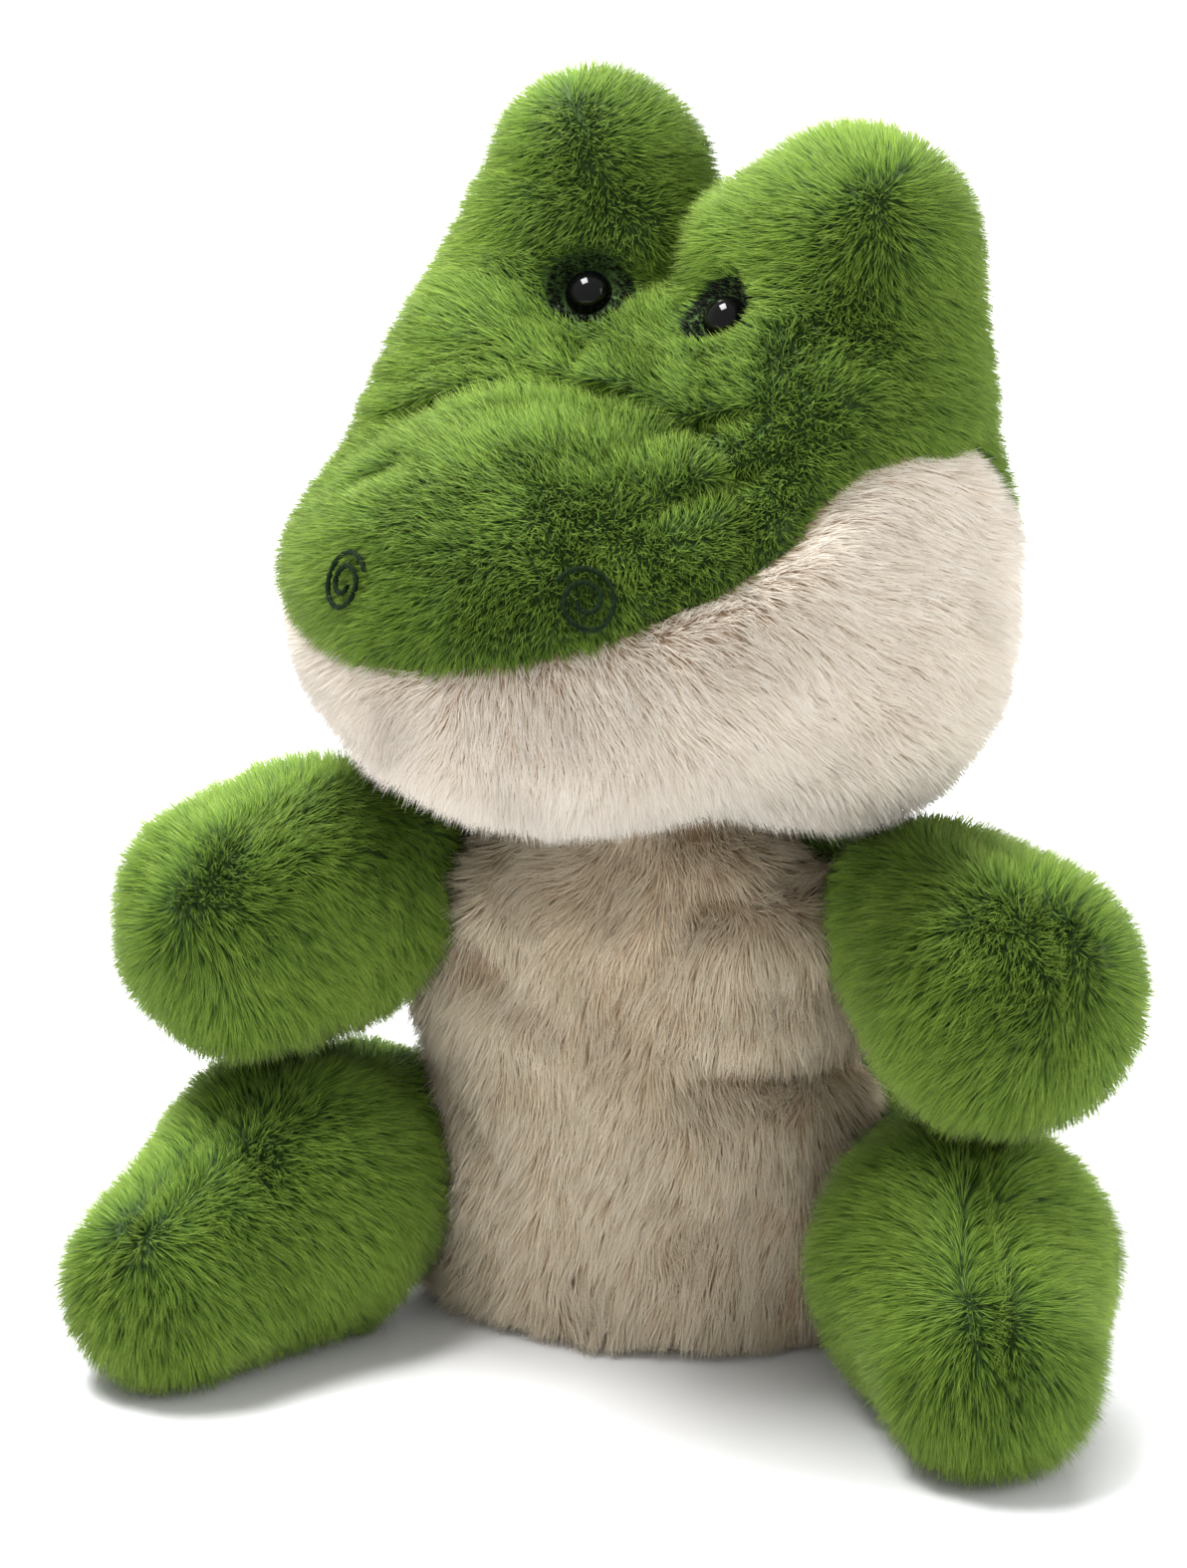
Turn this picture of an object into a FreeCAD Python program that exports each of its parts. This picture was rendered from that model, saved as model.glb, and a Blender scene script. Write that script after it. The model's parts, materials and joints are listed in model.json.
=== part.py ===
import FreeCAD, Part
import Sketcher
import math
import os

# A crocodile glove puppet, sitting: a hollow cloth sleeve for the hand, a stuffed head with two tall
# brows and a broad pale muzzle, stuffed arms with finger pockets, stuffed legs and a short tail.
# Millimetres. +Z is up, the puppet faces -Y and its own left side is +X. The origin is on the surface
# that it sits on, under the middle of its bounding box.

SIZES = {
    # where the sleeve's upright axis stands, from the middle of the bounding box
    "axis_x": 0.0,
    "axis_y": -6.94,
    # cloth and clearances
    "cloth": 3.0,           # pile fabric with its backing
    "lining_cloth": 1.0,
    "gap": 0.3,             # between a skin and its filling
    "swing_gap": 0.6,       # between two bodies that move
    # sleeve: half widths and half depths of its level sections
    "sleeve_centre_y": -3.0,
    "hem_wide": 45.0,
    "hem_deep": 32.0,
    "hip_rise": 28.0,
    "hip_wide": 45.5,
    "hip_deep": 33.0,
    "waist_rise": 58.0,
    "waist_wide": 43.0,
    "waist_deep": 31.0,
    "chest_rise": 81.0,
    "chest_wide": 43.0,
    "chest_deep": 28.0,
    "shoulder_rise": 92.0,
    "shoulder_wide": 29.0,
    "shoulder_deep": 23.0,
    "collar_rise": 97.0,
    "collar_wide": 21.0,
    "collar_deep": 19.5,
    "side_seam_y": -4.0,
    "hem_band_rise": 12.0,
    "hem_band_cloth": 1.5,
    "label_wide": 16.0,
    "label_drop": 14.0,
    "label_cloth": 0.6,
    # neck
    "nod_rise": 106.0,
    "neck_radius": 20.0,
    "neck_cloth": 2.5,
    "neck_top": 112.0,
    "neck_hole": 23.5,
    "neck_ball": 22.0,
    # head, built facing -Y and then turned
    "head_yaw": -14.0,
    "skull_x": 0.0,
    "skull_y": 9.0,
    "skull_rise": 146.0,
    "skull_wide": 61.5,
    "skull_deep": 45.0,
    "skull_high": 45.0,
    "cheek_x": 36.0,
    "cheek_y": -2.0,
    "cheek_rise": 129.0,
    "cheek_wide": 28.0,
    "cheek_deep": 36.0,
    "cheek_high": 28.0,
    "snout_x": 0.0,
    "snout_y": -38.0,
    "snout_rise": 138.0,
    "snout_wide": 46.0,
    "snout_deep": 40.0,
    "snout_high": 33.0,
    "snout_filling_y": -36.0,
    "jowl_x": 32.0,
    "jowl_y": -20.0,
    "jowl_rise": 142.0,
    "jowl_wide": 25.0,
    "jowl_deep": 32.0,
    "jowl_high": 24.0,
    # the pale muzzle lies below this slanting line, seen from the side
    "mouth_front_rise": 136.0,
    "mouth_back_y": 12.0,
    "mouth_back_rise": 166.0,
    "jaw_corner_y": 26.0,
    "jaw_corner_rise": 140.0,
    # brows
    "brow_low_x": 27.0,
    "brow_low_y": 14.0,
    "brow_low_rise": 177.0,
    "brow_low_radius": 28.0,
    "brow_left_x": 28.9,
    "brow_left_y": 17.4,
    "brow_left_rise": 197.3,
    "brow_left_radius": 21.8,
    "brow_right_x": 24.3,
    "brow_right_y": 19.5,
    "brow_right_rise": 205.0,
    "brow_right_radius": 19.2,
    # finger tube in the head
    "finger_tube_radius": 18.2,
    "finger_tube_bottom": 120.5,
    "finger_tube_top": 166.0,
    # eyes
    "eye_x": 15.0,
    "eye_y": -4.5,
    "eye_rise": 188.0,
    "eye_radius": 5.2,
    "shank_radius": 1.6,
    "shank_long": 12.0,
    "washer_radius": 6.0,
    "washer_thick": 1.2,
    "washer_depth": 9.0,
    # nostril swirls
    "nostril_x": 22.0,
    "nostril_rise": 152.0,
    "nostril_ring": 5.0,
    "nostril_heart": 2.2,
    "thread_radius": 0.9,
    # arms
    "shoulder_x": 50.0,
    "shoulder_y": -9.0,
    "shoulder_z": 83.0,
    "arm_splay": 41.0,
    "arm_droop": 9.0,
    "arm_root_radius": 16.0,
    "arm_room": 18.8,
    "arm_long": 30.0,
    "arm_tip_radius": 23.0,
    "pocket_y": -14.0,
    "pocket_z": 82.0,
    "pocket_radius": 9.2,
    "pocket_end_x": 62.0,
    # legs
    "hip_left_x": 57.0,
    "hip_left_splay": 17.0,
    "hip_right_x": 53.0,
    "hip_right_splay": 22.0,
    "hip_y": -10.0,
    "hip_z": 29.1,
    "leg_droop": 11.0,
    "leg_root_radius": 16.0,
    "leg_room": 24.2,
    "thigh_along": 24.0,
    "thigh_radius": 24.5,
    "leg_long": 58.0,
    "toe_radius": 17.5,
    # tail
    "tail_y": 42.0,
    "tail_z": 17.0,
    "tail_droop": 5.0,
    "tail_root_radius": 14.0,
    "tail_room": 14.6,
    "tail_long": 46.0,
    "tail_tip_radius": 8.0,
}

doc = FreeCAD.newDocument("croc_puppet")
sheet = doc.addObject("Spreadsheet::Sheet", "Sizes")
for row, (alias, value) in enumerate(SIZES.items(), start=1):
    sheet.set(f"A{row}", alias)
    sheet.set(f"B{row}", str(value))
    sheet.setAlias(f"B{row}", alias)
doc.recompute()

pieces = {}     # node name -> document object
BEYOND = 200.0  # longer than the puppet, for half spaces


def size(alias):
    return float(sheet.get(alias))


def cell(text):
    """An expression in which every word is a cell of the sheet."""
    words = []
    for word in text.split():
        words.append(f"Sizes.{word}" if word in SIZES else word)
    return " ".join(words)


def add(kind, name, **expressions):
    thing = doc.addObject(kind, name)
    for prop, text in expressions.items():
        thing.setExpression(prop, cell(text))
    return thing


def place(thing, at=(0, 0, 0), turn=None):
    thing.Placement = FreeCAD.Placement(FreeCAD.Vector(*at), turn or FreeCAD.Rotation())
    return thing


def locate(thing, x="0", y="0", z="0"):
    for axis, text in (("x", x), ("y", y), ("z", z)):
        thing.setExpression(f".Placement.Base.{axis}", cell(text))
    return thing


def cut(name, base, tool):
    thing = doc.addObject("Part::Cut", name)
    thing.Base, thing.Tool = base, tool
    return thing


def fuse(name, *shapes):
    thing = doc.addObject("Part::MultiFuse", name)
    thing.Shapes = list(shapes)
    return thing


def alone(name, shape):
    """One shape that already stands at its place, as a piece of its own."""
    thing = doc.addObject("Part::Compound", name)
    thing.Links = [shape]
    return thing


def common(name, *shapes):
    thing = doc.addObject("Part::MultiCommon", name)
    thing.Shapes = list(shapes)
    return thing


def sub_part(node, thing, yaw=None):
    """Names a finished piece and stands it on the puppet's own axis."""
    thing.Label = node
    thing.setExpression(".Placement.Base.x", cell("axis_x"))
    thing.setExpression(".Placement.Base.y", cell("axis_y"))
    if yaw:
        thing.Placement.Rotation = FreeCAD.Rotation(FreeCAD.Vector(0, 0, 1), size(yaw))
        thing.setExpression(".Placement.Rotation.Angle", cell(yaw))
    pieces[node] = thing


def cylinder(name, radius, length, z="0"):
    return locate(add("Part::Cylinder", name, Radius=radius, Height=length), z=z)


def ellipsoid(name, part, less="0", side="1"):
    """A head form; less is how far its surface is drawn in."""
    thing = add(
        "Part::Ellipsoid",
        name,
        Radius1=f"{part}_high - ( {less} )",
        Radius2=f"{part}_wide - ( {less} )",
        Radius3=f"{part}_deep - ( {less} )",
    )
    return locate(thing, x=f"{side} * {part}_x", y=f"{part}_y", z=f"{part}_rise")


def half_space(name, corner):
    box = add("Part::Box", name)
    box.Length = box.Width = box.Height = 2 * BEYOND
    return place(box, corner)


# ---------------------------------------------------------------- stuffed limbs
def limb_body(name, balls, less="0"):
    """A solid of revolution round its own Z: round ends and straight sides between balls.

    balls is a list of (distance along Z, radius) as expressions of the sheet.
    """
    body = doc.addObject("PartDesign::Body", name)
    plane = next(f for f in body.Origin.OriginFeatures if f.Role == "XZ_Plane")
    sketch = body.newObject("Sketcher::SketchObject", f"{name}_profile")
    sketch.AttachmentSupport = [(plane, "")]
    sketch.MapMode = "FlatFace"

    at = [0.0 if far == "0" else size(far) for far, _ in balls]
    drawn_in = sum(size(word) for word in less.split() if word in SIZES)
    radius = [size(r) - drawn_in for _, r in balls]
    # the slope of the tangent line from each ball to the next
    lean = [
        math.asin((radius[k] - radius[k + 1]) / (at[k + 1] - at[k]))
        for k in range(len(balls) - 1)
    ]
    first, last = -math.pi / 2, math.pi / 2
    starts = [first] + lean
    ends = lean + [last]
    normal = FreeCAD.Vector(0, 0, 1)
    arcs, lines = [], []
    for k in range(len(balls)):
        circle = Part.Circle(FreeCAD.Vector(0, at[k], 0), normal, radius[k])
        arcs.append(sketch.addGeometry(Part.ArcOfCircle(circle, starts[k], ends[k])))
    for k in range(len(balls) - 1):
        side = FreeCAD.Vector(math.cos(lean[k]), math.sin(lean[k]), 0)
        low = FreeCAD.Vector(0, at[k], 0) + side * radius[k]
        high = FreeCAD.Vector(0, at[k + 1], 0) + side * radius[k + 1]
        lines.append(sketch.addGeometry(Part.LineSegment(low, high)))
    spine = sketch.addGeometry(
        Part.LineSegment(
            FreeCAD.Vector(0, at[-1] + radius[-1], 0),
            FreeCAD.Vector(0, at[0] - radius[0], 0),
        )
    )
    constrain = Sketcher.Constraint
    for k, line in enumerate(lines):
        sketch.addConstraint(constrain("Tangent", arcs[k], 2, line, 1))
        sketch.addConstraint(constrain("Tangent", line, 2, arcs[k + 1], 1))
    sketch.addConstraint(constrain("Coincident", arcs[-1], 2, spine, 1))
    sketch.addConstraint(constrain("Coincident", spine, 2, arcs[0], 1))
    sketch.addConstraint(constrain("PointOnObject", spine, 1, -2))
    sketch.addConstraint(constrain("PointOnObject", spine, 2, -2))
    for k, (far, ball) in enumerate(balls):
        if k == 0:
            sketch.addConstraint(constrain("Coincident", arcs[k], 3, -1, 1))
        else:
            sketch.addConstraint(constrain("PointOnObject", arcs[k], 3, -2))
            index = sketch.addConstraint(constrain("DistanceY", -1, 1, arcs[k], 3, at[k]))
            sketch.setExpression(f"Constraints[{index}]", cell(far))
        index = sketch.addConstraint(constrain("Radius", arcs[k], radius[k]))
        sketch.setExpression(f"Constraints[{index}]", cell(f"{ball} - ( {less} )"))

    turned = body.newObject("PartDesign::Revolution", f"{name}_turned")
    turned.Profile = sketch
    turned.ReferenceAxis = (sketch, ["V_Axis"])
    turned.Angle = 360
    return body


def aim(splay, droop):
    """The turn that takes +Z to a limb's direction: splay from -Y towards +X, droop below level."""
    away, down = math.radians(splay), math.radians(droop)
    way = FreeCAD.Vector(
        math.sin(away) * math.cos(down), -math.cos(away) * math.cos(down), -math.sin(down)
    )
    return FreeCAD.Rotation(FreeCAD.Vector(0, 0, 1), way)


def stand(name, base, spot, turn):
    """A copy of a limb form, standing at its place on the puppet."""
    copy = doc.addObject("Part::Compound", name)
    copy.Links = [base]
    return place(copy, spot, turn)


def limb(name, balls, spot, turn):
    """The outer form, the inside of its skin and its filling's form, at one place."""
    forms = []
    for layer, less in (("outer", "0"), ("inner", "cloth"), ("filling", "cloth + gap")):
        body = limb_body(f"{name}_{layer}_form", balls, less)
        forms.append(stand(f"{name}_{layer}", body, spot, turn))
    return forms


# ---------------------------------------------------------------- sleeve
SECTIONS = ("hem", "hip", "waist", "chest", "shoulder", "collar")


def sleeve_form(name, less, past):
    """A loft through the sleeve's level ellipses, drawn in by less and run past both ends."""
    rings = []
    for part in SECTIONS:
        ring = add(
            "Part::Ellipse",
            f"{name}_{part}",
            MajorRadius=f"{part}_wide - ( {less} )",
            MinorRadius=f"{part}_deep - ( {less} )",
        )
        rise = "0" if part == "hem" else f"{part}_rise"
        centre = "0" if part in ("shoulder", "collar") else "sleeve_centre_y"
        shift = {"hem": f"- {past}", "collar": f"+ {past}"}.get(part, "")
        rings.append(locate(ring, y=centre, z=f"{rise} {shift}"))
    loft = doc.addObject("Part::Loft", name)
    loft.Sections = rings
    loft.Solid = True
    loft.Ruled = True
    return loft


def limb_hole(name, side, at, radius):
    """Room round a limb's root, where its seam joins the sleeve."""
    ball = add("Part::Sphere", name, Radius=radius)
    x, y, z = at
    return locate(ball, x=f"{side} * {x}", y=y, z=z)


holes = []
for side, word in ((1, "left"), (-1, "right")):
    holes.append(
        limb_hole(f"armhole_{word}", side, ("shoulder_x", "shoulder_y", "shoulder_z"), "arm_room")
    )
    holes.append(
        limb_hole(f"leghole_{word}", side, (f"hip_{word}_x", "hip_y", "hip_z"), "leg_room")
    )
holes.append(limb_hole("tailhole", 1, ("0", "tail_y", "tail_z"), "tail_room"))
limb_holes = fuse("limb_holes", *holes)

outside = sleeve_form("sleeve_outside", "0", "0")
inside = sleeve_form("sleeve_inside", "cloth", "1")
whole_skin = cut("sleeve_skin", outside, inside)
open_skin = cut("sleeve_skin_open", whole_skin, limb_holes)
front = half_space("front_half", (-BEYOND, size("side_seam_y") - 2 * BEYOND, -BEYOND))
sub_part("belly_panel", common("belly_panel", open_skin, front))
sub_part("back_panel", cut("back_panel", open_skin, front))

lining_out = sleeve_form("lining_outside", "cloth + gap", "0")
lining_in = sleeve_form("lining_inside", "cloth + gap + lining_cloth", "1")
lining_whole = cut("lining_whole", lining_out, lining_in)
sub_part("sleeve_lining", cut("sleeve_lining", lining_whole, limb_holes))


def hem_ring(name, less, bottom, top):
    rings = []
    for end, z in (("low", bottom), ("top", top)):
        ring = add(
            "Part::Ellipse",
            f"{name}_{end}",
            MajorRadius=f"hem_wide - ( {less} )",
            MinorRadius=f"hem_deep - ( {less} )",
        )
        rings.append(locate(ring, y="sleeve_centre_y", z=z))
    band = doc.addObject("Part::Loft", name)
    band.Sections = rings
    band.Solid = True
    return band


under_lining = "cloth + gap + lining_cloth + gap"
band_out = hem_ring("hem_outside", under_lining, "0", "hem_band_rise")
band_in = hem_ring(
    "hem_inside", f"{under_lining} + hem_band_cloth", "0 - 1", "hem_band_rise + 1"
)
sub_part("hem_band", cut("hem_band", band_out, band_in))

label = add(
    "Part::Box", "care_label", Length="label_wide", Width="label_cloth", Height="label_drop"
)
label_holder = locate(
    label,
    x="0 - label_wide / 2",
    y=f"sleeve_centre_y + hem_deep - ( {under_lining} + hem_band_cloth ) - 1.3",
    z="hem_band_rise - 2",
)
sub_part("care_label", alone("care_label_piece", label_holder))

# ---------------------------------------------------------------- neck
neck_foot = "collar_rise + swing_gap"
neck_out = cylinder("neck_outside", "neck_radius", f"neck_top - ( {neck_foot} )", neck_foot)
neck_in = cylinder("neck_inside", "neck_radius - neck_cloth", "neck_top", "collar_rise")
sub_part("neck_band", cut("neck_band", neck_out, neck_in))

# ---------------------------------------------------------------- head
def head_form(name, less="0"):
    """Skull, snout, cheeks and the jowls between them as one form, drawn in by less."""
    return fuse(
        name,
        ellipsoid(f"{name}_skull", "skull", less),
        ellipsoid(f"{name}_snout", "snout", less),
        ellipsoid(f"{name}_cheek_left", "cheek", less),
        ellipsoid(f"{name}_cheek_right", "cheek", less, "-1"),
        ellipsoid(f"{name}_jowl_left", "jowl", less),
        ellipsoid(f"{name}_jowl_right", "jowl", less, "-1"),
    )


head_out = head_form("head_outside")
head_in = head_form("head_inside", "cloth")
head_fill = head_form("head_filling", "cloth + gap")

neck_well = fuse(
    "neck_well",
    cylinder("neck_well_bore", "neck_hole", "nod_rise - 80", "80"),
    locate(add("Part::Sphere", "neck_well_ball", Radius="neck_ball"), z="nod_rise"),
)

# the slanting wedge that takes in the muzzle, as an outline across X
wedge_body = doc.addObject("PartDesign::Body", "muzzle_zone")
wedge_plane = next(f for f in wedge_body.Origin.OriginFeatures if f.Role == "YZ_Plane")
wedge_sketch = wedge_body.newObject("Sketcher::SketchObject", "muzzle_outline")
wedge_sketch.AttachmentSupport = [(wedge_plane, "")]
wedge_sketch.MapMode = "FlatFace"
front_y, low_z = -100.0, 80.0
outline = [
    (front_y, low_z, None, None),
    (size("jaw_corner_y"), low_z, "jaw_corner_y", None),
    (size("jaw_corner_y"), size("jaw_corner_rise"), "jaw_corner_y", "jaw_corner_rise"),
    (size("mouth_back_y"), size("mouth_back_rise"), "mouth_back_y", "mouth_back_rise"),
    (front_y, size("mouth_front_rise"), None, "mouth_front_rise"),
]
sides = []
for k, corner in enumerate(outline):
    after = outline[(k + 1) % len(outline)]
    start = FreeCAD.Vector(corner[0], corner[1], 0)
    sides.append(wedge_sketch.addGeometry(Part.LineSegment(start, FreeCAD.Vector(*after[:2], 0))))
for k, side in enumerate(sides):
    wedge_sketch.addConstraint(
        Sketcher.Constraint("Coincident", side, 2, sides[(k + 1) % len(sides)], 1)
    )
for side, (y, z, y_cell, z_cell) in zip(sides, outline):
    across = wedge_sketch.addConstraint(Sketcher.Constraint("DistanceX", -1, 1, side, 1, y))
    rise = wedge_sketch.addConstraint(Sketcher.Constraint("DistanceY", -1, 1, side, 1, z))
    if y_cell:
        wedge_sketch.setExpression(f"Constraints[{across}]", cell(y_cell))
    if z_cell:
        wedge_sketch.setExpression(f"Constraints[{rise}]", cell(z_cell))
wedge = wedge_body.newObject("PartDesign::Pad", "muzzle_zone_pad")
wedge.Profile = wedge_sketch
wedge.Length = BEYOND
wedge.Midplane = True

# eyes: a dome on a shank that goes through the fabric to a washer
EYE_WAY = (-0.10, -0.84, 0.53)


def eye_frame(side):
    way = FreeCAD.Vector(side * EYE_WAY[0], EYE_WAY[1], EYE_WAY[2])
    way.normalize()
    spot = FreeCAD.Vector(side * size("eye_x"), size("eye_y"), size("eye_rise"))
    return spot, way, FreeCAD.Rotation(FreeCAD.Vector(0, 0, 1), way)


def eye_parts(word, side, extra):
    """The dome with its shank, and the washer, grown by extra as clearance."""
    spot, way, turn = eye_frame(side)
    tag = "room" if extra else "part"
    grow = "gap" if extra else "0"
    dome = add("Part::Sphere", f"eye_{word}_dome_{tag}", Radius=f"eye_radius + {grow}")
    dome.Angle1 = 0
    dome.Angle2 = 90
    place(dome, spot, turn)
    shank = add(
        "Part::Cylinder",
        f"eye_{word}_shank_{tag}",
        Radius=f"shank_radius + {grow}",
        Height=f"shank_long + {grow}",
    )
    place(shank, spot - way * (size("shank_long") + (size(grow) if extra else 0)), turn)
    disc = add(
        "Part::Cylinder",
        f"eye_{word}_washer_{tag}",
        Radius=f"washer_radius + {grow}",
        Height=f"washer_thick + 2 * {grow}" if extra else "washer_thick",
    )
    depth = size("washer_depth") + size("washer_thick") + (size(grow) if extra else 0)
    place(disc, spot - way * depth, turn)
    return dome, shank, disc


eye_rooms = []
for word, side in (("left", 1), ("right", -1)):
    dome, shank, disc = eye_parts(word, side, False)
    sub_part(f"eye_{word}", fuse(f"eye_{word}", dome, shank), "head_yaw")
    bore = add(
        "Part::Cylinder",
        f"eye_{word}_washer_bore",
        Radius="shank_radius + 0.05",
        Height="washer_thick * 3",
    )
    spot, way, turn = eye_frame(side)
    place(bore, spot - way * (size("washer_depth") + 2 * size("washer_thick")), turn)
    sub_part(f"eye_washer_{word}", cut(f"eye_washer_{word}", disc, bore), "head_yaw")
    eye_rooms.append(fuse(f"eye_{word}_room", *eye_parts(word, side, True)))

# finger tube: closed at the top
tube_long = "finger_tube_top - finger_tube_bottom"
tube_out = cylinder("tube_outside", "finger_tube_radius", tube_long, "finger_tube_bottom")
tube_in = cylinder(
    "tube_inside",
    "finger_tube_radius - lining_cloth",
    f"{tube_long} - lining_cloth + 1",
    "finger_tube_bottom - 1",
)
sub_part("head_finger_tube", cut("head_finger_tube", tube_out, tube_in), "head_yaw")
tube_room = cylinder(
    "tube_room", "finger_tube_radius + gap", "finger_tube_top + gap - nod_rise", "nod_rise"
)

head_skin = cut("head_skin", cut("head_skin_whole", head_out, head_in), neck_well)
skin_zone = fuse("skin_zone", wedge_body, *eye_rooms)
sub_part("head_shell", cut("head_shell", head_skin, skin_zone), "head_yaw")
sub_part("muzzle_shell", common("muzzle_shell", head_skin, wedge_body), "head_yaw")

wells = fuse("head_wells", neck_well, tube_room, *eye_rooms)
filling = cut("filling_whole", head_fill, wells)
snout_half = half_space("snout_half", (-BEYOND, size("snout_filling_y") - 2 * BEYOND, -BEYOND))
sub_part("head_stuffing", cut("head_stuffing", filling, snout_half), "head_yaw")
sub_part("snout_stuffing", common("snout_stuffing", filling, snout_half), "head_yaw")

# brows: teardrops that stand on the crown, the left one lower and fuller than the right
low = FreeCAD.Vector(size("brow_low_x"), size("brow_low_y"), size("brow_low_rise"))
for word, side in (("left", 1), ("right", -1)):
    foot = FreeCAD.Vector(side * low.x, low.y, low.z)
    top = FreeCAD.Vector(*[size(f"brow_{word}_{way}") for way in ("x", "y", "rise")])
    lean = FreeCAD.Vector(side * (top.x - low.x), top.y - low.y, top.z - low.z)
    turn = FreeCAD.Rotation(FreeCAD.Vector(0, 0, 1), lean)
    long = f"brow_{word}_long"
    SIZES[long] = lean.Length
    row = len(SIZES)
    sheet.set(f"A{row}", long)
    sheet.set(
        f"B{row}",
        f"=sqrt((brow_{word}_x - brow_low_x)^2 + (brow_{word}_y - brow_low_y)^2"
        f" + (brow_{word}_rise - brow_low_rise)^2)",
    )
    sheet.setAlias(f"B{row}", long)
    doc.recompute()
    balls = [("0", "brow_low_radius"), (long, f"brow_{word}_radius")]
    outer, inner, stuffing = limb(f"brow_{word}", balls, foot, turn)
    room = eye_rooms[0 if side > 0 else 1]
    under = fuse(f"brow_{word}_under", head_out, room)
    skin = cut(f"brow_{word}_skin", outer, inner)
    sub_part(f"brow_{word}_shell", cut(f"brow_{word}_shell", skin, under), "head_yaw")
    sub_part(f"brow_{word}_stuffing", cut(f"brow_{word}_stuffing", stuffing, under), "head_yaw")


# nostril swirls: a ring of thread with a smaller ring inside it, on the snout's skin
def snout_skin(x, z):
    """The point of the snout's front skin at x and z, and the way it faces."""
    wide, deep, high = size("snout_wide"), size("snout_deep"), size("snout_high")
    across, up = x / wide, (z - size("snout_rise")) / high
    out = math.sqrt(1 - across**2 - up**2)
    way = FreeCAD.Vector(across / wide, -out / deep, up / high)
    way.normalize()
    return FreeCAD.Vector(x, size("snout_y") - out * deep, z), way


for word, side in (("left", 1), ("right", -1)):
    spot, way = snout_skin(side * size("nostril_x"), size("nostril_rise"))
    rings = []
    for ring, radius in (("rim", "nostril_ring"), ("heart", "nostril_heart")):
        torus = add(
            "Part::Torus", f"nostril_{word}_{ring}", Radius1=radius, Radius2="thread_radius"
        )
        lift = size("thread_radius") + 0.1
        rings.append(place(torus, spot + way * lift, FreeCAD.Rotation(FreeCAD.Vector(0, 0, 1), way)))
    sub_part(f"nostril_thread_{word}", fuse(f"nostril_thread_{word}", *rings), "head_yaw")

# ---------------------------------------------------------------- arms
ARM = [("0", "arm_root_radius"), ("arm_long", "arm_tip_radius")]
for word, side in (("left", 1), ("right", -1)):
    spot = FreeCAD.Vector(side * size("shoulder_x"), size("shoulder_y"), size("shoulder_z"))
    turn = aim(side * size("arm_splay"), size("arm_droop"))
    outer, inner, stuffing = limb(f"arm_{word}", ARM, spot, turn)
    bore, wall = [], "pocket_radius - lining_cloth"
    for tag, radius, end in (
        ("outside", "pocket_radius", "pocket_end_x"),
        ("inside", wall, "pocket_end_x - lining_cloth"),
        ("room", "pocket_radius + gap", "pocket_end_x + gap"),
    ):
        tube = add("Part::Cylinder", f"pocket_{word}_{tag}", Radius=radius, Height=end)
        way = FreeCAD.Rotation(FreeCAD.Vector(0, 0, 1), FreeCAD.Vector(side, 0, 0))
        bore.append(place(tube, (0, size("pocket_y"), size("pocket_z")), way))
    tube = cut(f"pocket_{word}_tube", bore[0], bore[1])
    sub_part(f"arm_{word}_finger_pocket", common(f"pocket_{word}_piece", tube, outer))
    skin = cut(f"arm_{word}_skin", outer, inner)
    sub_part(f"arm_{word}_shell", cut(f"arm_{word}_shell", skin, bore[2]))
    sub_part(f"arm_{word}_stuffing", cut(f"arm_{word}_stuffing", stuffing, bore[2]))

# ---------------------------------------------------------------- legs and tail
LEG = [("0", "leg_root_radius"), ("thigh_along", "thigh_radius"), ("leg_long", "toe_radius")]
TAIL = [("0", "tail_root_radius"), ("tail_long", "tail_tip_radius")]
for word, side in (("left", 1), ("right", -1)):
    spot = FreeCAD.Vector(side * size(f"hip_{word}_x"), size("hip_y"), size("hip_z"))
    turn = aim(side * size(f"hip_{word}_splay"), size("leg_droop"))
    outer, inner, stuffing = limb(f"leg_{word}", LEG, spot, turn)
    sub_part(f"leg_{word}_shell", cut(f"leg_{word}_shell", outer, inner))
    sub_part(f"leg_{word}_stuffing", alone(f"leg_{word}_filled", stuffing))

spot = FreeCAD.Vector(0, size("tail_y"), size("tail_z"))
outer, inner, stuffing = limb("tail", TAIL, spot, aim(180, size("tail_droop")))
sub_part("tail_shell", cut("tail_shell", outer, inner))
sub_part("tail_stuffing", alone("tail_filled", stuffing))

# ---------------------------------------------------------------- check and write
doc.recompute()
for thing in doc.Objects:
    if "Invalid" in thing.State or "Error" in thing.State:
        raise RuntimeError(f"{thing.Name} failed: {thing.State}")
os.makedirs("parts", exist_ok=True)
box = FreeCAD.BoundBox()
for node, thing in pieces.items():
    shape = thing.Shape
    if shape.isNull() or not shape.isValid() or shape.Volume <= 0:
        raise RuntimeError(f"{node} has no sound shape")
    box.add(shape.optimalBoundingBox(False))
for node, thing in pieces.items():
    thing.Shape.exportStep(f"parts/{node}.step")
print(f"{len(pieces)} pieces, {box.XMin:.2f}..{box.XMax:.2f}, {box.YMin:.2f}..{box.YMax:.2f},"
      f" {box.ZMin:.2f}..{box.ZMax:.2f} mm")
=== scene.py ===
import json
import math

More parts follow.
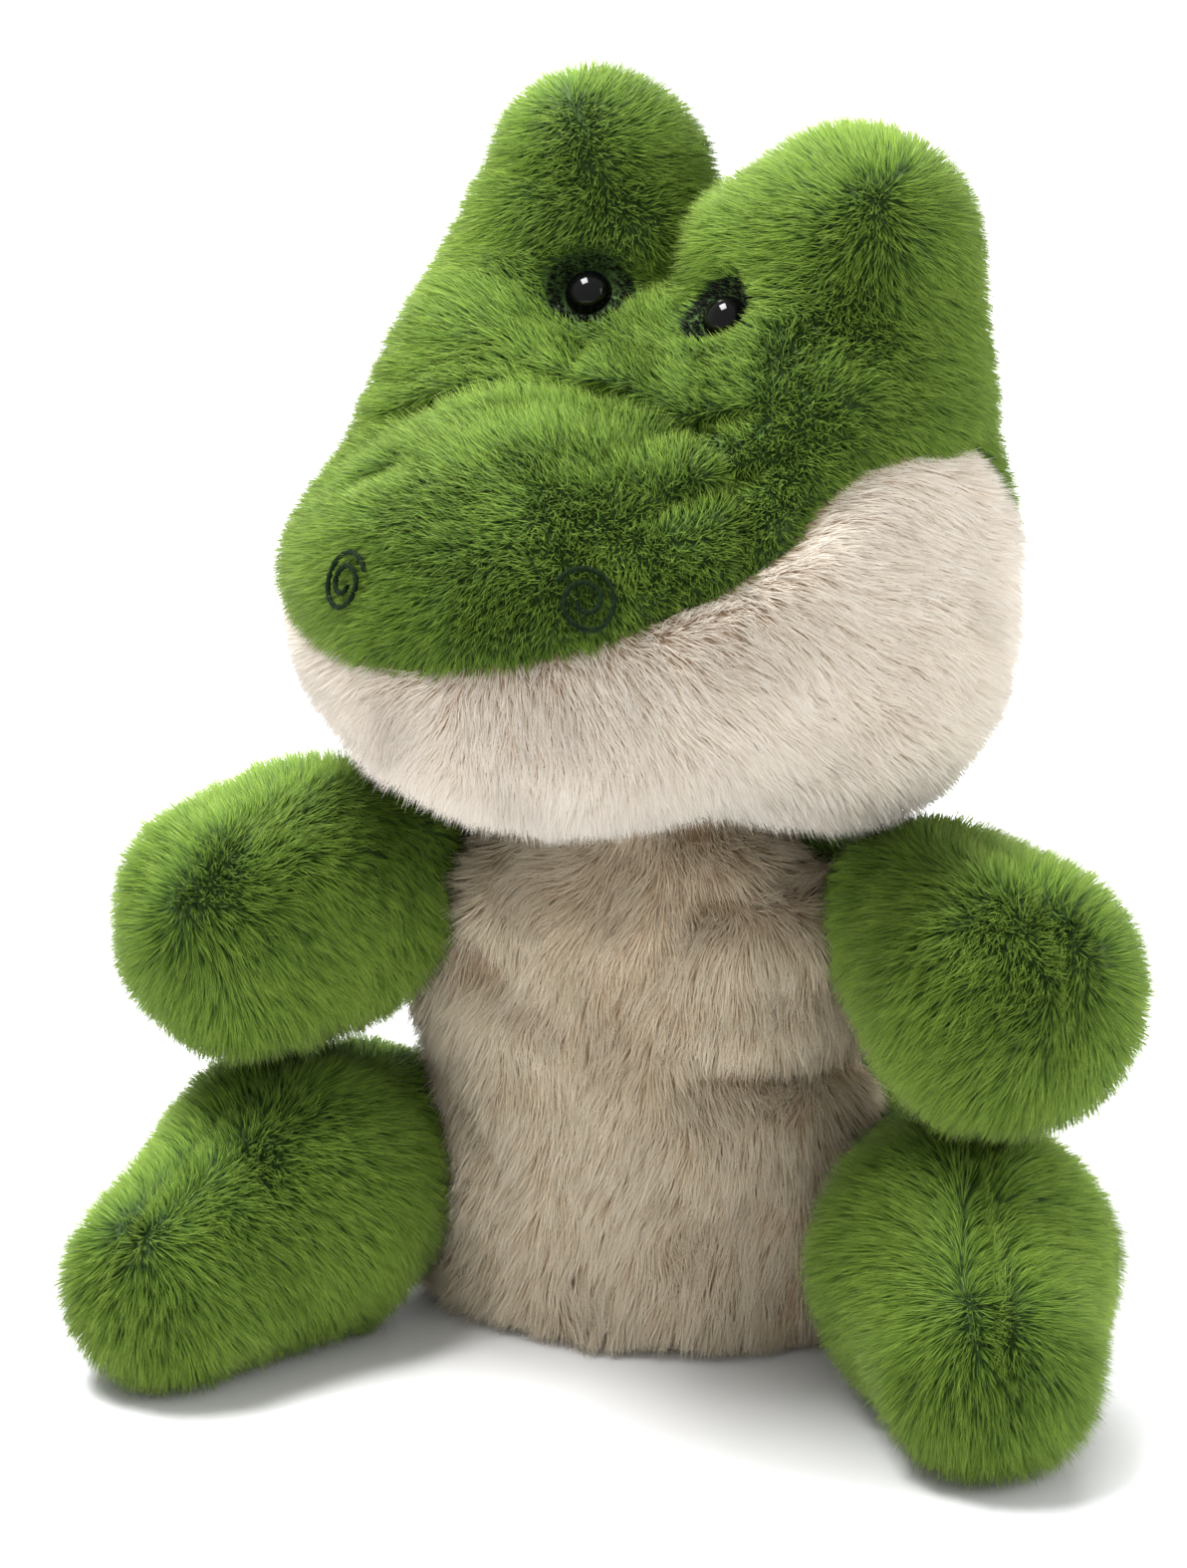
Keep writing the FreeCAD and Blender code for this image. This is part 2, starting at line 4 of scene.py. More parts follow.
import bpy
import numpy as np
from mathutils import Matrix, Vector


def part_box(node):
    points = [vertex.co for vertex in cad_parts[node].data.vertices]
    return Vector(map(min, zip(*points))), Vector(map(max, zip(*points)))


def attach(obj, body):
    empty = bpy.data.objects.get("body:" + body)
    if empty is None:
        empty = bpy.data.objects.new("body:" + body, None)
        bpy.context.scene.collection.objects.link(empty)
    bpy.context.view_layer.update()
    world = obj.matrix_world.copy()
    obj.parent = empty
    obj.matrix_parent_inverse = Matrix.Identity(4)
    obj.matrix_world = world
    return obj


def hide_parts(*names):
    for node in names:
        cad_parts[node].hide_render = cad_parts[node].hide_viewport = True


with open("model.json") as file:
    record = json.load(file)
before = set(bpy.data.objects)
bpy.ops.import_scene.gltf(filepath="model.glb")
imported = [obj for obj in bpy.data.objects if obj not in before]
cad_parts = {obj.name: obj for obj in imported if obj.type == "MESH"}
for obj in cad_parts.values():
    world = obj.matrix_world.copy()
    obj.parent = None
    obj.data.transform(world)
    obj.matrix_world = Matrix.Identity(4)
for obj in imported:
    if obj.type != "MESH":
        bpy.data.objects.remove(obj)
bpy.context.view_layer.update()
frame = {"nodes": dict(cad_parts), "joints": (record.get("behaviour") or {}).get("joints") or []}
MM = 0.001

# The puppet faces -Y and its own left side is +X. Forms are worked out in millimetres as distance
# fields, and become skins; each skin then grows its pile as real strands.

joints = {j["name"]: j for j in frame["joints"]}


def pivot(name):
    return np.array(joints[name]["pos_m"]) / MM


def node_box(name):
    low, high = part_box(name)
    return np.array(low) / MM, np.array(high) / MM


NECK = pivot("head_nod")
NOD_AXIS = np.array(joints["head_nod"]["axis"])
HEAD_TURN = math.atan2(NOD_AXIS[1], NOD_AXIS[0])


# ---------------------------------------------------------------- noise
def hash01(cells, salt):
    """A repeatable number from 0 to 1 for each row of whole numbers."""
    x = cells[..., 0] * 374761393 + cells[..., 1] * 668265263 + cells[..., 2] * 2147483647
    x = (x + salt * 1274126177) & 0xFFFFFFFF
    x = ((x ^ (x >> 13)) * 1103515245) & 0xFFFFFFFF
    x = ((x ^ (x >> 16)) * 668265263) & 0xFFFFFFFF
    return ((x ^ (x >> 15)) & 0xFFFFFF) / float(0xFFFFFF)


def noise(p, scale, salt):
    """Smooth noise from -1 to 1, with features of about scale millimetres."""
    q = p / scale + 1000.0
    cell = np.floor(q).astype(np.int64)
    f = q - cell
    f = f * f * (3 - 2 * f)
    total = np.zeros(len(p))
    for corner in np.ndindex(2, 2, 2):
        weight = np.ones(len(p))
        for k in range(3):
            weight *= f[:, k] if corner[k] else 1 - f[:, k]
        total += weight * hash01(cell + np.array(corner), salt)
    return total * 2 - 1


def noise_way(p, scale, salt):
    return np.stack([noise(p, scale, salt + 17 * k) for k in range(3)], -1)


def unit(v):
    return v / np.maximum(np.linalg.norm(v, axis=-1, keepdims=True), 1e-9)


def smooth(x, low, high):
    t = np.clip((x - low) / (high - low), 0, 1)
    return t * t * (3 - 2 * t)


# ---------------------------------------------------------------- distance fields
def ball(p, centre, radius):
    return np.linalg.norm(p - centre, axis=-1) - radius


def egg(p, centre, radii):
    q = (p - np.array(centre)) / np.array(radii)
    k0 = np.linalg.norm(q, axis=-1)
    k1 = np.linalg.norm(q / np.array(radii), axis=-1)
    return k0 * (k0 - 1) / np.maximum(k1, 1e-9)


def taper(p, a, b, ra, rb):
    """A rounded cone from ball a to ball b."""
    a, b = np.array(a, float), np.array(b, float)
    along = b - a
    t = np.clip((p - a) @ along / (along @ along), 0, 1)
    return np.linalg.norm(p - a - t[:, None] * along, axis=-1) - (ra + (rb - ra) * t)


def join(a, b, soft):
    """The union of two fields, with a fillet of about soft millimetres."""
    h = np.clip(0.5 + 0.5 * (b - a) / soft, 0, 1)
    return b * (1 - h) + a * h - soft * h * (1 - h)


def carve(a, b, soft):
    return -join(-a, b, soft)


def lower_of(a, b, soft):
    """The lower of two heights, with the corner between them rounded."""
    h = np.clip(0.5 + 0.5 * (b - a) / soft, 0, 1)
    return b * (1 - h) + a * h - soft * h * (1 - h)


def slope(field, p, step=0.35):
    g = np.empty_like(p)
    for k in range(3):
        shift = np.zeros(3)
        shift[k] = step
        g[:, k] = (field(p + shift) - field(p - shift)) / (2 * step)
    return g


def skin_mesh(field, low, high, step):
    """Points and quads of the field's zero surface, by surface nets drawn onto the surface."""
    low, high = np.array(low, float), np.array(high, float)
    count = np.ceil((high - low) / step).astype(int) + 1
    axes = [low[k] + step * np.arange(count[k]) for k in range(3)]
    grid = np.stack(np.meshgrid(*axes, indexing="ij"), -1).reshape(-1, 3)
    inside = (field(grid) < 0).reshape(count)
    total = np.zeros(count - 1, int)
    for i, j, k in np.ndindex(2, 2, 2):
        total += inside[i:count[0] - 1 + i, j:count[1] - 1 + j, k:count[2] - 1 + k]
    mixed = (total > 0) & (total < 8)
    index = -np.ones(count - 1, int)
    index[mixed] = np.arange(mixed.sum())
    points = low + step * (np.argwhere(mixed) + 0.5)
    quads = []
    for axis in range(3):
        u, v = [k for k in range(3) if k != axis]
        near = [slice(1, -1)] * 3
        near[axis] = slice(0, -1)
        far = list(near)
        far[axis] = slice(1, None)
        a, b = inside[tuple(near)], inside[tuple(far)]
        crossing = np.argwhere(a != b)
        into = a[a != b]
        spot = crossing.copy()
        spot[:, u] += 1
        spot[:, v] += 1
        ring = []
        for du, dv in ((1, 1), (0, 1), (0, 0), (1, 0)):
            cell = spot.copy()
            cell[:, u] -= du
            cell[:, v] -= dv
            ring.append(index[tuple(cell.T)])
        ring = np.stack(ring, -1)
        flip = into if axis != 1 else ~into
        ring[~flip] = ring[~flip][:, ::-1]
        quads.append(ring)
    quads = np.concatenate(quads)
    quads = quads[(quads >= 0).all(1)]
    for _ in range(4):
        g = slope(field, points)
        move = field(points)[:, None] * g / np.maximum((g * g).sum(-1, keepdims=True), 0.05)
        points = points - np.clip(move, -step, step)
    return points, quads


def across_quads(points, quads):
    """The product of each quad's diagonals, which points out of it."""
    return np.cross(points[quads[:, 2]] - points[quads[:, 0]], points[quads[:, 3]] - points[quads[:, 1]])


def turn_out(points, quads, outward):
    """Turns round the quads that face against outward."""
    wrong = np.einsum("ij,ij->i", outward, across_quads(points, quads)) < 0
    quads[wrong] = quads[wrong][:, ::-1]


def rays_round(ahead, hint, sides):
    """Rays at right angles to each direction in ahead, evenly round it."""
    side = unit(np.cross(ahead, np.array(hint)))
    other = np.cross(ahead, side)
    turn = np.linspace(0, 2 * math.pi, sides, endpoint=False)
    return side[:, None] * np.cos(turn)[None, :, None] + other[:, None] * np.sin(turn)[None, :, None]


def make_mesh(name, points, faces, material):
    """A mesh object from points in millimetres and faces with the same number of corners."""
    faces = np.asarray(faces)
    used, faces_at = np.unique(faces, return_inverse=True)
    faces = faces_at.reshape(faces.shape)
    points = points[used]
    mesh = bpy.data.meshes.new(name)
    sides = faces.shape[1]
    mesh.vertices.add(len(points))
    mesh.vertices.foreach_set("co", (points * MM).astype(np.float32).ravel())
    mesh.loops.add(faces.size)
    mesh.loops.foreach_set("vertex_index", faces.astype(np.int32).ravel())
    mesh.polygons.add(len(faces))
    mesh.polygons.foreach_set("loop_start", np.arange(len(faces), dtype=np.int32) * sides)
    mesh.polygons.foreach_set("use_smooth", np.ones(len(faces), bool))
    mesh.update(calc_edges=True)
    thing = bpy.data.objects.new(name, mesh)
    bpy.context.scene.collection.objects.link(thing)
    mesh.materials.append(material)
    return thing


# ---------------------------------------------------------------- materials
def new_material(name):
    material = bpy.data.materials.new(name)
    material.use_nodes = True
    tree = material.node_tree
    return material, tree, tree.nodes["Principled BSDF"]


def set_value(material, name, value):
    material.node_tree.nodes["Principled BSDF"].inputs[name].default_value = value


def ramp(tree, source, stops):
    node = tree.nodes.new("ShaderNodeValToRGB")
    node.color_ramp.elements[0].position = stops[0][0]
    node.color_ramp.elements[0].color = (*stops[0][1], 1)
    node.color_ramp.elements[1].position = stops[-1][0]
    node.color_ramp.elements[1].color = (*stops[-1][1], 1)
    for place, colour in stops[1:-1]:
        node.color_ramp.elements.new(place).color = (*colour, 1)
    tree.links.new(source, node.inputs["Fac"])
    return node.outputs["Color"]


def mix(tree, factor, a, b):
    node = tree.nodes.new("ShaderNodeMix")
    node.data_type = "RGBA"
    tree.links.new(factor, node.inputs["Factor"])
    tree.links.new(a, node.inputs["A"])
    tree.links.new(b, node.inputs["B"])
    return node.outputs["Result"]


def pile_material(name, dark, bright):
    """Strands: root to tip along the strand, between a dark and a bright strand's colours. Each colour
    darkens towards the root as painted shade between the strands.
    """
    material, tree, shader = new_material(name)
    uv = tree.nodes.new("ShaderNodeUVMap")
    uv.uv_map = "OFBake"
    split = tree.nodes.new("ShaderNodeSeparateXYZ")
    tree.links.new(uv.outputs["UV"], split.inputs["Vector"])
    colour = mix(
        tree,
        split.outputs["X"],
        ramp(tree, split.outputs["Y"], dark),
        ramp(tree, split.outputs["Y"], bright),
    )
    tree.links.new(colour, shader.inputs["Base Color"])
    shader.inputs["Roughness"].default_value = 0.62
    shader.inputs["Specular IOR Level"].default_value = 0.22
    shader.inputs["Sheen Weight"].default_value = 0.07
    shader.inputs["Sheen Roughness"].default_value = 0.45
    return material


def grain(tree, shader, low, high, scale, detail=2.0):
    """Colours the shader between two tones in noise, and returns the noise."""
    where = tree.nodes.new("ShaderNodeTexCoord")
    node = tree.nodes.new("ShaderNodeTexNoise")
    node.inputs["Scale"].default_value = scale
    node.inputs["Detail"].default_value = detail
    tree.links.new(where.outputs["Object"], node.inputs["Vector"])
    tones = ramp(tree, node.outputs["Fac"], [(0.3, low), (0.7, high)])
    tree.links.new(tones, shader.inputs["Base Color"])
    return node.outputs["Fac"]


def raise_threads(tree, shader, height, strength, distance):
    relief = tree.nodes.new("ShaderNodeBump")
    relief.inputs["Strength"].default_value = strength
    relief.inputs["Distance"].default_value = distance
    tree.links.new(height, relief.inputs["Height"])
    tree.links.new(relief.outputs["Normal"], shader.inputs["Normal"])


def backing_material(name, low, high):
    """The pile's knitted backing: two tones in fine noise with a thread relief. Its tones are dark, painted
    shade under the pile.
    """
    material, tree, shader = new_material(name)
    threads = grain(tree, shader, low, high, 900, 4.0)
    raise_threads(tree, shader, threads, 0.5, 0.0006)
    shader.inputs["Roughness"].default_value = 0.9
    shader.inputs["Sheen Weight"].default_value = 0.2
    return material


def woven_material(name, low, high, threads):
    """Plain weave: crossed waves make over-and-under threads."""
    material, tree, shader = new_material(name)
    where = tree.nodes.new("ShaderNodeTexCoord")
    heights = []
    for way in ("X", "Z"):
        wave = tree.nodes.new("ShaderNodeTexWave")
        wave.bands_direction = way
        wave.inputs["Scale"].default_value = threads
        wave.inputs["Distortion"].default_value = 0.6
        tree.links.new(where.outputs["Object"], wave.inputs["Vector"])
        heights.append(wave.outputs["Fac"])
    both = tree.nodes.new("ShaderNodeMath")
    both.operation = "MULTIPLY"
    tree.links.new(heights[0], both.inputs[0])
    tree.links.new(heights[1], both.inputs[1])
    tree.links.new(ramp(tree, both.outputs["Value"], [(0.1, low), (0.8, high)]), shader.inputs["Base Color"])
    raise_threads(tree, shader, both.outputs["Value"], 0.4, 0.0003)
    shader.inputs["Roughness"].default_value = 0.8
    shader.inputs["Sheen Weight"].default_value = 0.15
    return material


# Ramps from root (0.0) to tip (1.0). The dark root ends are painted shade between the strands; the two ramps
# of a pair are random strand tones.
GREEN_DARK = [(0.0, (0.010, 0.030, 0.002)), (0.45, (0.062, 0.140, 0.009)), (1.0, (0.170, 0.295, 0.028))]
GREEN_BRIGHT = [(0.0, (0.024, 0.060, 0.005)), (0.45, (0.155, 0.285, 0.022)), (1.0, (0.415, 0.565, 0.090))]
CREAM_DARK = [(0.0, (0.580, 0.440, 0.320)), (0.45, (0.810, 0.695, 0.565)), (1.0, (0.890, 0.805, 0.690))]
CREAM_BRIGHT = [(0.0, (0.640, 0.510, 0.380)), (0.45, (0.880, 0.800, 0.680)), (1.0, (0.970, 0.930, 0.850))]
BELLY_DARK = [(0.0, (0.380, 0.240, 0.125)), (0.45, (0.680, 0.530, 0.350)), (1.0, (0.800, 0.685, 0.500))]
BELLY_BRIGHT = [(0.0, (0.480, 0.340, 0.200)), (0.45, (0.860, 0.740, 0.545)), (1.0, (0.970, 0.890, 0.720))]
# Near-black ramps for the ring of strands round each eye: painted shade of the eye socket.
SOCKET_SHADE_LOW = [(0.0, (0.002, 0.002, 0.002)), (1.0, (0.004, 0.005, 0.004))]
SOCKET_SHADE_HIGH = [(0.0, (0.003, 0.003, 0.003)), (1.0, (0.010, 0.012, 0.009))]

GREEN_PILE = pile_material("green_pile", GREEN_DARK, GREEN_BRIGHT)
CREAM_PILE = pile_material("cream_pile", CREAM_DARK, CREAM_BRIGHT)
BELLY_PILE = pile_material("belly_pile_cream", BELLY_DARK, BELLY_BRIGHT)
# Near-black pile as painted shade in the eye sockets; no sheen and little specular keep it black.
SOCKET_SHADE_PILE = pile_material("painted_socket_shade", SOCKET_SHADE_LOW, SOCKET_SHADE_HIGH)
set_value(SOCKET_SHADE_PILE, "Sheen Weight", 0.0)
set_value(SOCKET_SHADE_PILE, "Specular IOR Level", 0.05)
# Backing tones as dark as the pile's roots: the cloth's colour with painted shade under the pile.
GREEN_BACKING = backing_material("green_backing", (0.020, 0.050, 0.006), (0.055, 0.120, 0.016))
CREAM_BACKING = backing_material("cream_backing", (0.330, 0.220, 0.140), (0.520, 0.390, 0.270))
LINING = woven_material("lining_weave", (0.030, 0.065, 0.014), (0.085, 0.150, 0.040), 700)


# ---------------------------------------------------------------- pile
PILE_LIMIT = 64000     # strands in one piece
DENSITY, STRAND = ((480, 0.28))
rng = np.random.default_rng(20)


def tuft_centres(p, size_mm, salt):
    """For each point the nearest of a jittered lattice of tuft centres."""
    q = p / size_mm + 500.0
    cell = np.floor(q).astype(np.int64)
    best = np.full(len(p), 1e9)
    centre = np.zeros_like(p)
    for offset in np.ndindex(3, 3, 3):
        at = cell + np.array(offset) - 1
        jitter = np.stack([hash01(at, salt + k) for k in range(3)], -1)
        spot = at + jitter
        d = ((spot - q) ** 2).sum(-1)
        closer = d < best
        best[closer] = d[closer]
        centre[closer] = spot[closer]
    return (centre - 500.0) * size_mm


def grow(name, body, slot, material, roots, normals, comb, length, stand, tuft=2.5, bunch=0.46,
         wild=0.20, floor=True):
    """Strands as three-sided spikes: comb leans them over the skin, tufts gather their tips."""
    n = unit(normals)
    lay = comb - (comb * n).sum(-1, keepdims=True) * n
    lay = lay + 0.50 * noise_way(roots, 10.0, 3) + 0.34 * noise_way(roots, 4.5, 23)
    way = unit(n * stand[:, None] + lay + wild * rng.normal(size=roots.shape))
    sized = length * (1 + 0.14 * rng.normal(size=len(roots)))
    tip = roots + way * sized[:, None]
    middle = tuft_centres(roots, tuft, 5)
    offset = middle + way * sized[:, None] - tip
    offset -= (offset * n).sum(-1, keepdims=True) * n
    tip = tip + offset * (bunch * (0.6 + 0.8 * rng.random(len(roots))))[:, None]
    foot = roots - n * 0.25
    if floor:
        tip[:, 2] = np.maximum(tip[:, 2], 0.15 + 0.6 * rng.random(len(roots)))
        foot[:, 2] = np.maximum(foot[:, 2], 0.4)
    way = unit(tip - foot)
    side = unit(np.cross(way, unit(rng.normal(size=roots.shape))))
    other = np.cross(way, side)
    corners = []
    outward = []
    for k in range(3):
        turn = 2 * math.pi * k / 3
        ray = side * math.cos(turn) + other * math.sin(turn)
        corners.append(foot + ray * (STRAND / 2))
        outward.append(unit(n * 0.8 + ray * 0.55))
    outward.append(unit(n * 0.75 + way * 0.25 + 0.25 * rng.normal(size=roots.shape)))
    verts = np.stack(corners + [tip], 1)
    shade = np.stack(outward, 1)
    tuft_tone = hash01(np.floor(middle * 10).astype(np.int64), 9)
    tone = 0.5 + 0.20 * noise(roots, 22.0, 6) + 0.32 * (tuft_tone - 0.5) + 0.21 * rng.normal(size=len(roots))
    tone = np.clip(tone, 0.02, 0.98)
    parts = max(1, math.ceil(len(roots) / PILE_LIMIT))
    order = np.argsort(roots[:, 2], kind="stable")
    for k, chunk in enumerate(np.array_split(order, parts)):
        label = name if parts == 1 else f"{name}_{k + 1}"
        mesh = bpy.data.meshes.new(label)
        count = len(chunk)
        base = np.arange(count)[:, None] * 4
        faces = (base + np.array([[0, 1, 3, 1, 2, 3, 2, 0, 3]])).reshape(-1)
        mesh.vertices.add(count * 4)
        mesh.vertices.foreach_set("co", (verts[chunk] * MM).astype(np.float32).ravel())
        mesh.loops.add(len(faces))
        mesh.loops.foreach_set("vertex_index", faces.astype(np.int32))
        mesh.polygons.add(count * 3)
        mesh.polygons.foreach_set("loop_start", np.arange(count * 3, dtype=np.int32) * 3)
        mesh.polygons.foreach_set("use_smooth", np.ones(count * 3, bool))
        layer = mesh.uv_layers.new(name="OFBake")
        # V runs from root to tip: the materials darken the root end as painted shade between the strands.
        along = np.tile([0.02, 0.02, 0.98], count * 3)
        across = np.repeat(tone[chunk], 9)
        layer.data.foreach_set("uv", np.stack([across, along], -1).astype(np.float32).ravel())
        mesh.update(calc_edges=True)
        mesh.normals_split_custom_set_from_vertices(shade[chunk].reshape(-1, 3))
        mesh.materials.append(material)
        thing = bpy.data.objects.new(label, mesh)
        bpy.context.scene.collection.objects.link(thing)
        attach(thing, body)


# ---------------------------------------------------------------- the forms
AXIS = np.array([0.0, NECK[1], 0.0])
UNDER = 1.2            # the skin lies this far inside the CAD cloth's outer face
PILE = 5.4
c_turn, s_turn = math.cos(HEAD_TURN), math.sin(HEAD_TURN)
TO_ROW = np.array([[c_turn, -s_turn, 0], [s_turn, c_turn, 0], [0, 0, 1]])


def from_head(h):
    return np.asarray(h, float) @ TO_ROW.T + AXIS


def from_puppet(q):
    return np.asarray(q, float) + AXIS


BROW_FOOT = np.array([27.0, 14.0, 177.0])
BROW_INNER = np.array([18.0, 16.5, 192.0])
# The left brow is lower and fuller than the right one.
BROW_TOPS = {1: (np.array([28.9, 17.4, 197.3]), 21.8), -1: (np.array([-24.3, 19.5, 205.0]), 19.2)}
EYE_SPOT = np.array([15.0, -4.5, 188.0])
EYE_WAY = np.array([-0.10, -0.84, 0.53])
NOSTRIL_SPOTS = {1: np.array([22.0, -66.0, 151.5]), -1: np.array([-18.5, -68.0, 149.5])}


def mirrored(v, side):
    return np.array([v[0] * side, v[1], v[2]])


def seam_height(h):
    """How far above the green and cream seam a point of the head is."""
    lean = 0.15 * h[:, 0] - 2.5
    y = h[:, 1]
    side = smooth(np.abs(h[:, 0]), 22, 40)
    bend = 4.0 * np.exp(-(((y + 16) / 13) ** 2)) - 4.5 * smooth(y, -6, 12)
    front = 136 + (y + 100) * 30 / 112 + lean + side * bend
    behind = np.maximum(166 + lean - (y - 12) * 26 / 14, 60)
    return h[:, 2] - lower_of(front, behind, 9.0)


def seam_gap(h):
    """About how far a point of the head is from the green and cream seam, with its sign."""
    up = seam_height(h) * 0.965
    steep = seam_height(h) * 0.47
    return np.where(h[:, 1] < 12, up, steep)


def brow_field(h, side):
    top, radius = BROW_TOPS[side]
    outer = taper(h, mirrored(BROW_FOOT, side), top, 28 - UNDER, radius - UNDER)
    return join(outer, ball(h, mirrored(BROW_INNER, side), 19.5 - UNDER), 4.0)


def stuffed_egg(p, centre, radii):
    """An egg of cloth, with its skin the usual way inside the CAD cloth's face."""
    return egg(p, centre, np.array(radii) - UNDER)


def face_field(h):
    pair = np.stack([np.abs(h[:, 0]), h[:, 1], h[:, 2]], -1)
    skull = stuffed_egg(h, (0, 9, 146), (61.5, 45, 45))
    cheek = stuffed_egg(pair, (36, -2, 129), (28, 36, 28))
    snout = stuffed_egg(h, (0, -37, 140.5), (46, 41, 35.5))
    jowl = stuffed_egg(pair, (32, -20, 142), (25, 32, 24))
    temple = stuffed_egg(pair, (30, -3, 166), (22, 24, 24))
    whole = join(join(join(skull, cheek, 10.0), jowl, 8.0), temple, 14.0)
    crease = np.exp(-(((snout - whole) / 2.6) ** 2)) * smooth(h[:, 2], 148, 160)
    return join(whole, snout, 15.0) + 1.7 * crease


def eye_seat(side):
    """Where the line of sight of an eye comes out of the face."""
    start = mirrored(EYE_SPOT, side) + EYE_SHIFTS[side]
    steps = np.linspace(-8, 12, 201)
    line = start + mirrored(EYE_WAY, side) * steps[:, None]
    brows = np.minimum(brow_field(line, 1), brow_field(line, -1))
    inside = join(face_field(line), brows, 7.0) < 0
    last = np.flatnonzero(inside).max() if inside.any() else 80
    return line[last]


EYE_SHIFTS = {1: np.array([0.6, 0.3, 0.0]), -1: np.array([1.4, 0.8, 2.2])}
EYE_SEATS = {side: eye_seat(side) for side in (1, -1)}
# The dome's rim sits this far behind its seat.
EYE_PLACES = {side: EYE_SEATS[side] - mirrored(EYE_WAY, side) * 2.6 for side in (1, -1)}


# Creases of the slack cloth between the snout and the brows, as lines in x and z.
CREASES = (
    ((-41, 158), (-15, 169)),
    ((-43, 167), (-20, 176)),
    ((-14, 178), (12, 176)),
    ((-10, 184), (-2, 178)),
    ((16, 172), (36, 178)),
    ((24, 163), (40, 170)),
)


def face_crease(h):
    """From 0 to 1 near the middle of a crease."""
    flat = h[:, [0, 2]]
    deepest = np.zeros(len(h))
    for start, end in CREASES:
        a, b = np.array(start, float), np.array(end, float)
        t = np.clip((flat - a) @ (b - a) / ((b - a) @ (b - a)), 0, 1)
        d = np.linalg.norm(flat - a - t[:, None] * (b - a), axis=1)
        deepest = np.maximum(deepest, np.exp(-((d / 1.7) ** 2)) * np.sin(math.pi * np.clip(t, 0.1, 0.9)))
    return deepest * smooth(-h[:, 1], 0, 12)


def head_field(h):
    whole = face_field(h)
    brows = np.minimum(brow_field(h, 1), brow_field(h, -1))
    whole = join(whole, brows, 7.0)
    gap = seam_gap(h)
    whole = whole + 1.3 * np.exp(-((gap / 2.2) ** 2))
    whole = whole + 0.55 * noise(h * np.array([0.8, 1.0, 1.2]), 12.0, 61)
    drawn = np.exp(-(((h[:, 2] - 176) / 12) ** 2)) * smooth(-h[:, 1], -12, 6)
    whole = whole + 0.75 * drawn * noise(h * np.array([0.45, 1.0, 1.9]), 7.0, 62)
    whole = whole + 1.9 * face_crease(h)
    for side in (1, -1):
        whole = carve(whole, ball(h, EYE_SEATS[side] + mirrored(EYE_WAY, side) * 3.2, 6.6), 3.0)
    well = taper(h, (0, 0, 80), (0, 0, 107), 22.0, 21.6)
    return carve(whole, well, 3.0)


LIMBS = {
    "arm_left": dict(at=(50, -9, 83), splay=43, droop=12, radii=(17, 23.6), stops=(0, 31),
                     star=(0.86, -0.27, 0.44)),
    "arm_right": dict(at=(-50, -9, 83), splay=-41, droop=12, radii=(17.2, 22.0, 23), stops=(0, 14, 30),
                      star=(-0.38, -0.86, 0.35)),
    "leg_left": dict(at=(57, -10, 29.1), splay=20, droop=11, radii=(18, 24.5, 18.0), stops=(0, 24, 55),
                     star=(-0.15, -0.45, 0.88), star_at=52),
    "leg_right": dict(at=(-53, -10, 29.1), splay=-22, droop=11, radii=(18.5, 24.5, 17.5), stops=(0, 24, 58),
                      star=(-0.40, -0.55, 0.73), star_at=55),
    "tail": dict(at=(0, 42, 17), splay=180, droop=5, radii=(14, 8), stops=(0, 46), star=(0, 1, 0.2)),
}


def limb_axis(spec):
    splay, droop = math.radians(spec["splay"]), math.radians(spec["droop"])
    return np.array([math.sin(splay) * math.cos(droop), -math.cos(splay) * math.cos(droop), -math.sin(droop)])


def limb_field(spec):
    at, way = from_puppet(spec["at"]), limb_axis(spec)
    radii = [r - UNDER for r in spec["radii"]]
    places = [at + way * stop for stop in spec["stops"]]
    across = unit(np.cross(way, np.array([0, 0, 1.0])))

    def field(p):
        whole = None
        for k in range(len(radii) - 1):
            part = taper(p, places[k], places[k + 1], radii[k], radii[k + 1])
            whole = part if whole is None else join(whole, part, 6.0)
        off = (p - at) @ across
        high = smooth((p - at)[:, 2] - way[2] * ((p - at) @ way), 2.0, 12.0)
        return whole + 1.5 * high * np.exp(-((off / 2.4) ** 2))

    return field


def limb_seam(spec):
    """The seam on top of a limb, from its root to the star at its tip."""
    at, way = from_puppet(spec["at"]), limb_axis(spec)
    upright = unit(np.array([0, 0, 1.0]) - way * way[2])
    star_at = spec.get("star_at", spec["stops"][-1])
    reach = np.interp(star_at, spec["stops"], spec["radii"])
    star = at + way * star_at + unit(np.array(spec["star"], float)) * reach
    root = at + upright * spec["radii"][0] - way * 4
    ridge = at + way * star_at * 0.5 + upright * np.interp(star_at * 0.5, spec["stops"], spec["radii"])
    return np.array([root, ridge, star])


def from_polyline(p, line):
    """The nearest point of a polyline to each point."""
    best = np.full(len(p), 1e9)
    near = np.zeros_like(p)
    for a, b in zip(line[:-1], line[1:]):
        along = b - a
        t = np.clip((p - a) @ along / (along @ along), 0, 1)
        spot = a + t[:, None] * along
        d = np.linalg.norm(p - spot, axis=1)
        closer = d < best
        best[closer] = d[closer]
        near[closer] = spot[closer]
    return near, best


# ---------------------------------------------------------------- the sleeve
SLEEVE = np.array([
    (0.0, 45.0, 32.0, 0.0),
    (28.0, 45.5, 33.0, 0.0),
    (58.0, 43.0, 31.0, 0.0),
    (81.0, 43.0, 28.0, -3.0),
    (92.0, 29.0, 23.0, -1.0),
    (97.0, 21.0, 19.5, 0.0),
    (112.0, 18.6, 18.6, 0.0),
])
SIDE_SEAM_Y = -4.0
